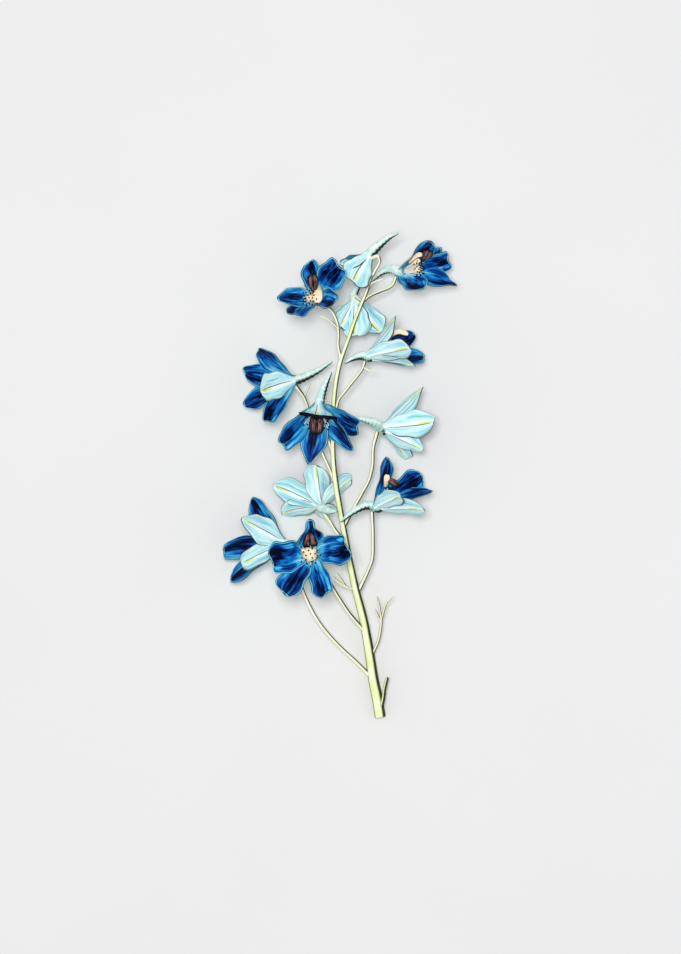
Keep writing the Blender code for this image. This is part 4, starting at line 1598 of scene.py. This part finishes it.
        tube = Tube(stations_along(self.spur_line(), self.spur_radii, self.spur_stretches), self.spur_cells)
        piece = tube.build(f"{self.name}_spur", SHADE_SIDE, wrinkle)
        self.paint_grooves(piece)
        return dressed(piece, self.wardrobe.spur)

    def paint_grooves(self, piece: bpy.types.Object) -> None:
        """Marks the hollows between a spur's wrinkles, where shade is painted, found where the skin lies
        nearest its line.

        Args:
            piece: The spur.
        """
        knots, count = self.spur_line(), self.spur_stretches
        line = [along_path(knots, step / count) for step in range(count + 1)]
        smooth = [along_path(self.spur_radii, step / count) for step in range(count + 1)]

        def depth(point: int) -> float:
            """How deep in a hollow a point of the skin lies.

            Args:
                point: The point's index.

            Returns:
                The depth, from 0 to 1.
            """
            place = piece.data.vertices[point].co / MM
            distance, index = min(((spot - place).length, index) for index, spot in enumerate(line))
            return min(1.0, max(0.0, (smooth[index] * 1.06 - distance) / (smooth[index] * 0.16)))

        paint(piece, "groove_shade", depth)

    def build(self) -> None:
        """Joins the sepals and the spur, settles the calyx and ties it to the body."""
        parts = [self.sepal(index, sepal) for index, sepal in enumerate(self.bloom.sepals)]
        calyx = fused(f"{self.name}_sepals_and_spur", [*parts, self.spur()])
        handed_in(calyx, Slot.SEPALS, f"{self.name}_calyx")


@dataclass
class MouthMaker(BloomMaker):
    """Builds what stands in a bloom's mouth: the dark bearded petals and the cream heart.

    Sizes are in millimetres. The lobe shares are shares of the whole dark centre's width.
    """

    lobe_share: float = 0.3
    lobe_offset: float = 0.2
    lobe_swell: float = 0.7
    lobe_cells: tuple[int, int] = (10, 14)
    lobe_thickness: float = 0.45
    hairs: int = 36
    hair_radii: tuple[float, float] = (0.075, 0.02)
    cream_cells: tuple[int, int] = (8, 12)
    cream_thickness: float = 0.4
    heart_start: float = 1.8
    core_radius: float = 1.5
    stamens: int = 22
    stamen_radii: tuple[float, ...] = (0.22, 0.19, 0.15)
    stamen_turn: float = math.radians(137.5)
    anther_radii: tuple[float, ...] = (0.34, 0.31, 0.44)

    def __post_init__(self) -> None:
        """Works out the bloom's axes and its name, and seeds its draws."""
        super().__post_init__()
        self.draw = random.Random(self.number)

    def bee_form(self) -> Bee:
        """The bloom's own dark centre, or one that leans under its hood.

        Returns:
            The dark centre's form.
        """
        if self.bloom.bee:
            return self.bloom.bee
        axes = self.axes
        lean = max(axes.hood_angle - math.radians(20), math.radians(20))
        return Bee(tuple(axes.at(2.65, 1.45)), tuple(axes.at(11 * math.cos(lean), 11 * math.sin(lean))))

    def lobe(self, index: int, bee: Bee) -> tuple[bpy.types.Object, Place, Vector]:
        """One of the two dark petals.

        Args:
            index: 0 or 1.
            bee: The dark centre's form.

        Returns:
            The petal, the function that gives its places and the way that its face looks.
        """
        root, tip = Vector(bee.root), Vector(bee.tip)
        run = tip - root
        toward = Vector((0, 0, 0.7)) + self.axes.forward * 0.5
        face = (toward - run * (toward.dot(run) / run.length_squared)).normalized()
        side = face.cross(run).normalized()
        lean = 1 if index else -1
        seed = self.draw.random()

        def place(across: float, along: float) -> Vector:
            """A point of the dark petal.

            Args:
                across: The share across, from -1 to 1.
                along: The share along, from 0 to 1.

            Returns:
                The point's place in millimetres.
            """
            share = outline_at(bee.outline, along)
            half = bee.width * self.lobe_share * share
            middle = root + run * along + side * (lean * bee.width * self.lobe_offset * share)
            swell = self.lobe_swell * (1 - across ** 2) * math.sin(math.pi * min(1.0, 0.1 + 0.9 * along))
            fold = 0.16 * math.sin(9 * across + 4 * along + seed * 6) * ease(0.1, 0.4, along)
            split = 0.5 * abs(across) * ease(0.7, 1.0, along)
            lift = face * (swell + fold + 0.25 * index)
            return middle + side * (across * half) + lift - run.normalized() * split

        piece = shaped_grid(f"{self.name}_dark_petal_{index}", self.lobe_cells, place)
        paint(piece, "seed", lambda point: seed)
        dressed(piece, self.wardrobe.navy if bee.blue else self.wardrobe.dark)
        return walled(piece, self.lobe_thickness), place, face

    def hair(self, name: str, root: Vector, way: Vector, length: float) -> bpy.types.Object:
        """One short hair of the beard: a thin cone from a root along a way, in millimetres.

        Args:
            name: The object's name.
            root: Where it starts, in millimetres.
            way: The way that it points.
            length: How long it is, in millimetres.

        Returns:
            The hair.
        """
        wide, thin = self.hair_radii
        bpy.ops.mesh.primitive_cone_add(
            vertices=4, radius1=wide * MM, radius2=thin * MM, depth=length * MM,
        )
        piece = bpy.context.object
        piece.name = name
        turned = way.to_track_quat("Z", "Y").to_matrix().to_4x4()
        piece.data.transform(Matrix.Translation((root + way * length / 2) * MM) @ turned)
        return dressed(piece, self.wardrobe.dark)

    def build_bee(self) -> None:
        """Builds the two dark petals with their beard."""
        bee = self.bee_form()
        parts = []
        for index in range(2):
            petal, place, face = self.lobe(index, bee)
            parts.append(petal)
            for count in range(self.hairs // 2):
                across, along = self.draw.uniform(-0.8, 0.8), self.draw.uniform(0.25, 0.95)
                spot = place(across, along)
                way = (face + Vector([self.draw.uniform(-0.7, 0.7) for _ in range(3)])).normalized()
                length = self.draw.uniform(0.7, 1.3)
                parts.append(self.hair(f"{self.name}_hair_{index}_{count}", spot, way, length))
        handed_in(fused(f"{self.name}_dark_petals", parts), Slot.DARK_PETALS, f"{self.name}_bee")

    def cream_petal(self, index: int, cream: Cream) -> bpy.types.Object:
        """One cream upper petal, cupped toward the viewer.

        Args:
            index: Its number in the bloom.
            cream: Its form.

        Returns:
            The petal.
        """
        knots = [Vector(place) for place in cream.places]
        toward = Vector((0, 0, 0.8)) + self.axes.forward * 0.4

        def place(across: float, along: float) -> Vector:
            """A point of the cream petal.

            Args:
                across: The share across, from -1 to 1.
                along: The share along, from 0 to 1.

            Returns:
                The point's place in millimetres.
            """
            run = along_path(knots, min(1.0, along + 0.05)) - along_path(knots, max(0.0, along - 0.05))
            face = (toward - run * (toward.dot(run) / run.length_squared)).normalized()
            side = face.cross(run).normalized()
            half = cream.width / 2 * outline_at(Outline.CREAM, along)
            bulge = 0.7 * math.sin(math.pi * along) - 0.5 * across ** 2
            return along_path(knots, along) + side * (across * half) + face * bulge

        piece = shaped_grid(f"{self.name}_cream_{index}", self.cream_cells, place)
        return walled(dressed(piece, self.wardrobe.cream), self.cream_thickness)

    def creams(self) -> tuple[Cream, ...]:
        """The bloom's own cream petals, or a pair beside its heart.

        Returns:
            The petals' forms.
        """
        if self.bloom.creams:
            return self.bloom.creams
        at = self.axes.at
        return tuple(Cream((at(3.25, 0.0, turn * 0.6), at(6.55, 0.5, turn * 2.9))) for turn in (-1, 1))

    def core(self, root: Vector, end: Vector) -> bpy.types.Object:
        """The cream dome that the stamens crowd into.

        Args:
            root: Where it starts, in millimetres.
            end: The heart's far end.

        Returns:
            The dome.
        """
        knots = [root, root.lerp(end, 0.5), root.lerp(end, 0.92)]
        radii = [radius * self.bloom.dome for radius in (0.8, 1.3, self.core_radius)]
        tube = Tube(stations_along(knots, radii, 8), 18, 5, 0.06)
        return dressed(tube.build(f"{self.name}_core", SHADE_SIDE), self.wardrobe.cream)

    def stamen(self, index: int, root: Vector, end: Vector) -> list[bpy.types.Object]:
        """A curved filament with its anther, on a spiral about the heart.

        Args:
            index: Its number in the bloom.
            root: Where the heart starts, in millimetres.
            end: The heart's far end.

        Returns:
            The filament and the anther.
        """
        run = (end - root).normalized()
        first = run.orthogonal()
        second = run.cross(first)
        turn = index * self.stamen_turn
        spread = self.bloom.spread * math.sqrt((index + 0.6) / self.stamens)
        out = first * math.cos(turn) + second * math.sin(turn)
        radius = self.core_radius * self.bloom.dome
        bulge = 0.9 * radius * math.sqrt(max(0.0, 1 - (spread / radius / 1.2) ** 2))
        top = end + out * spread + run * (max(1.3 - 0.14 * spread ** 2, bulge) + self.draw.uniform(-0.2, 0.3))
        knots = [root + out * 0.5, root.lerp(end, 0.6) + out * spread * 0.75, top]
        tube = Tube(stations_along(knots, self.stamen_radii, 4), 6)
        filament = dressed(tube.build(f"{self.name}_filament_{index}", SHADE_SIDE), self.wardrobe.filament)
        anther = ball(f"{self.name}_anther_{index}", 8, 6)
        turned = (run + out * 0.8).to_track_quat("Z", "Y").to_matrix().to_4x4()
        shape = turned @ Matrix.Diagonal((*self.anther_radii, 1.0))
        anther.data.transform(Matrix.Translation(top * MM) @ shape)
        return [filament, dressed(anther, self.wardrobe.anther)]

    def build_heart(self) -> None:
        """Builds the cream petals, the core and the stamens as one piece."""
        axes = self.axes
        end = Vector(self.bloom.heart) if self.bloom.heart else axes.at(6.2, -0.3)
        root = axes.centre + (end - axes.centre).normalized() * self.heart_start
        parts = [self.core(root, end)]
        parts += [self.cream_petal(index, cream) for index, cream in enumerate(self.creams())]
        for index in range(self.stamens):
            parts += self.stamen(index, root, end)
        handed_in(fused(f"{self.name}_cream_heart", parts), Slot.CREAM_PARTS, f"{self.name}_heart")


@dataclass
class StemMaker:
    """Builds the main axis, the blooms' stalks, the thin bracts and the leaf stub as one piece.

    Sizes are in millimetres: each stalk ends at the setback behind its bloom's centre, with a gap
    to the spur. The rounds say how many faces each kind of tube has around.
    """

    wardrobe: Wardrobe
    gap: float = 0.3
    spur_radius: float = 2.15
    setback: float = 1.8
    axis_stretches: int = 150
    axis_round: int = 28
    axis_ribs: int = 9
    axis_rib_depth: float = 0.02
    stalk_stretches: int = 12
    stalk_round: int = 14
    root_swell: float = 1.3
    end_swell: float = 1.25
    bract_stretches: int = 20
    bract_round: int = 8

    def stalk_end(self, bloom: Bloom, before: Vector, radius: float) -> Vector:
        """Where a stalk ends, just clear of the spur behind its bloom.

        Args:
            bloom: The bloom that it carries.
            before: The stalk's last place before its end.
            radius: The stalk's half thickness.

        Returns:
            The end's place in millimetres.
        """
        axes = BloomFrame(bloom)
        seat = axes.centre + axes.back * self.setback
        rise = before - seat
        side = (rise - axes.back * rise.dot(axes.back)).normalized()
        return seat + side * (self.spur_radius + self.gap + radius * math.sin(side.angle(rise)))

    def build(self) -> None:
        """Builds every tube of the stem, joins them, settles the stem and ties it to the body."""
        knots, radii = [Vector(place) for place, _ in AXIS], [radius for _, radius in AXIS]
        stations = stations_along(knots, radii, self.axis_stretches, flat_start=True)
        main = Tube(stations, self.axis_round, self.axis_ribs, self.axis_rib_depth)
        parts = [dressed(main.build("main_axis", STEM_SHADE_SIDE), self.wardrobe.stem)]
        for number, (radius, places) in STALKS.items():
            knots = [Vector(place) for place in places]
            knots.append(self.stalk_end(BLOOMS[number - 1], knots[-1], radius))
            radii = [radius * self.root_swell, *[radius] * (len(knots) - 2), radius * self.end_swell]
            tube = Tube(stations_along(knots, radii, self.stalk_stretches * len(knots)), self.stalk_round)
            parts.append(dressed(tube.build(f"stalk_{number}", STEM_SHADE_SIDE), self.wardrobe.stalk))
        for index, (wide, thin, places) in enumerate(BRACTS):
            knots = [Vector(place) for place in places]
            tube = Tube(stations_along(knots, [wide, thin], self.bract_stretches), self.bract_round)
            skin = self.wardrobe.stub if index == LEAF_STUB else self.wardrobe.stalk
            parts.append(dressed(tube.build(f"bract_{index}", STEM_SHADE_SIDE), skin))
        handed_in(fused("stem_and_stalks", parts), Slot.STEM, "stem")


@dataclass
class Studio:
    """The pale floor, the soft lights and the camera that looks straight down.

    The view's centre and height, the lens and the sensor are in millimetres. The floor's side and
    how far it lies below the spike are in metres.
    """

    view_centre: tuple[float, float] = (0.2, -0.4)
    view_height: float = 400.7
    lens: float = 200.0
    sensor: float = 36.0
    middle_height: float = 16.0
    floor_side: float = 6.0
    floor_drop: float = 0.0002
    sky_strength: float = 0.46

    def floor(self) -> None:
        """A pale floor with a faint mottle."""
        bpy.ops.object.select_all(action="DESELECT")
        bpy.ops.mesh.primitive_plane_add(size=self.floor_side, location=(0, 0, -self.floor_drop))
        plane = bpy.context.object
        plane.name = "floor"
        material = bpy.data.materials.new("floor")
        material.use_nodes = True
        sheet = NodeSheet(material.node_tree)
        shader = material.node_tree.nodes["Principled BSDF"]
        mottle = sheet.noise(sheet.object_places(), 9.0, 4.0)
        sheet.put(shader.inputs["Base Color"], sheet.mixed(mottle, tint("DCDCDC"), tint("E0E0E0")))
        shader.inputs["Roughness"].default_value = 0.9
        shader.inputs["Specular IOR Level"].default_value = 0.1
        plane.data.materials.append(material)

    def light(self, name: str, place: Spot, size: float, power: float) -> None:
        """A square area light that looks at the spike.

        Args:
            name: Its name.
            place: Where it stands, in metres.
            size: Its side in metres.
            power: Its power in watts.
        """
        bpy.ops.object.light_add(type="AREA", location=place)
        lamp = bpy.context.object
        lamp.name = name
        lamp.data.size = size
        lamp.data.energy = power
        lamp.rotation_euler = (-Vector(place)).to_track_quat("-Z", "Y").to_euler()

    def build(self) -> None:
        """Sets up the floor, the lights, the world and the camera."""
        self.floor()
        self.light("key_light", (-0.1, 0.14, 1.95), 0.45, 26.0)
        self.light("fill_light", (1.0, -0.5, 1.5), 1.6, 3.0)
        world = bpy.data.worlds.new("studio")
        world.use_nodes = True
        sky = world.node_tree.nodes["Background"]
        sky.inputs["Color"].default_value = (1.0, 1.0, 1.0, 1.0)
        sky.inputs["Strength"].default_value = self.sky_strength
        bpy.context.scene.world = world
        bpy.context.scene.view_settings.view_transform = "Standard"
        distance = self.view_height * self.lens / self.sensor + self.middle_height
        place = Vector((self.view_centre[0], self.view_centre[1], distance)) * MM
        bpy.ops.object.camera_add(location=place, rotation=(0, 0, 0))
        camera = bpy.context.object
        camera.data.lens = self.lens
        camera.data.sensor_width = self.sensor
        camera.data.clip_end = 20.0
        bpy.context.scene.camera = camera


def write_sizes() -> None:
    """Brings the view layer up to date."""
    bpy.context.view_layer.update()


def main() -> None:
    """Builds the studio, the stem and every bloom."""
    logging.basicConfig(level=logging.INFO, format="%(message)s")
    wardrobe = Wardrobe()
    Studio().build()
    StemMaker(wardrobe).build()
    for number, bloom in enumerate(BLOOMS, 1):
        CalyxMaker(bloom, number, wardrobe).build()
        mouth = MouthMaker(bloom, number, wardrobe)
        mouth.build_bee()
        mouth.build_heart()
    write_sizes()


if __name__ == "__main__":
    main()
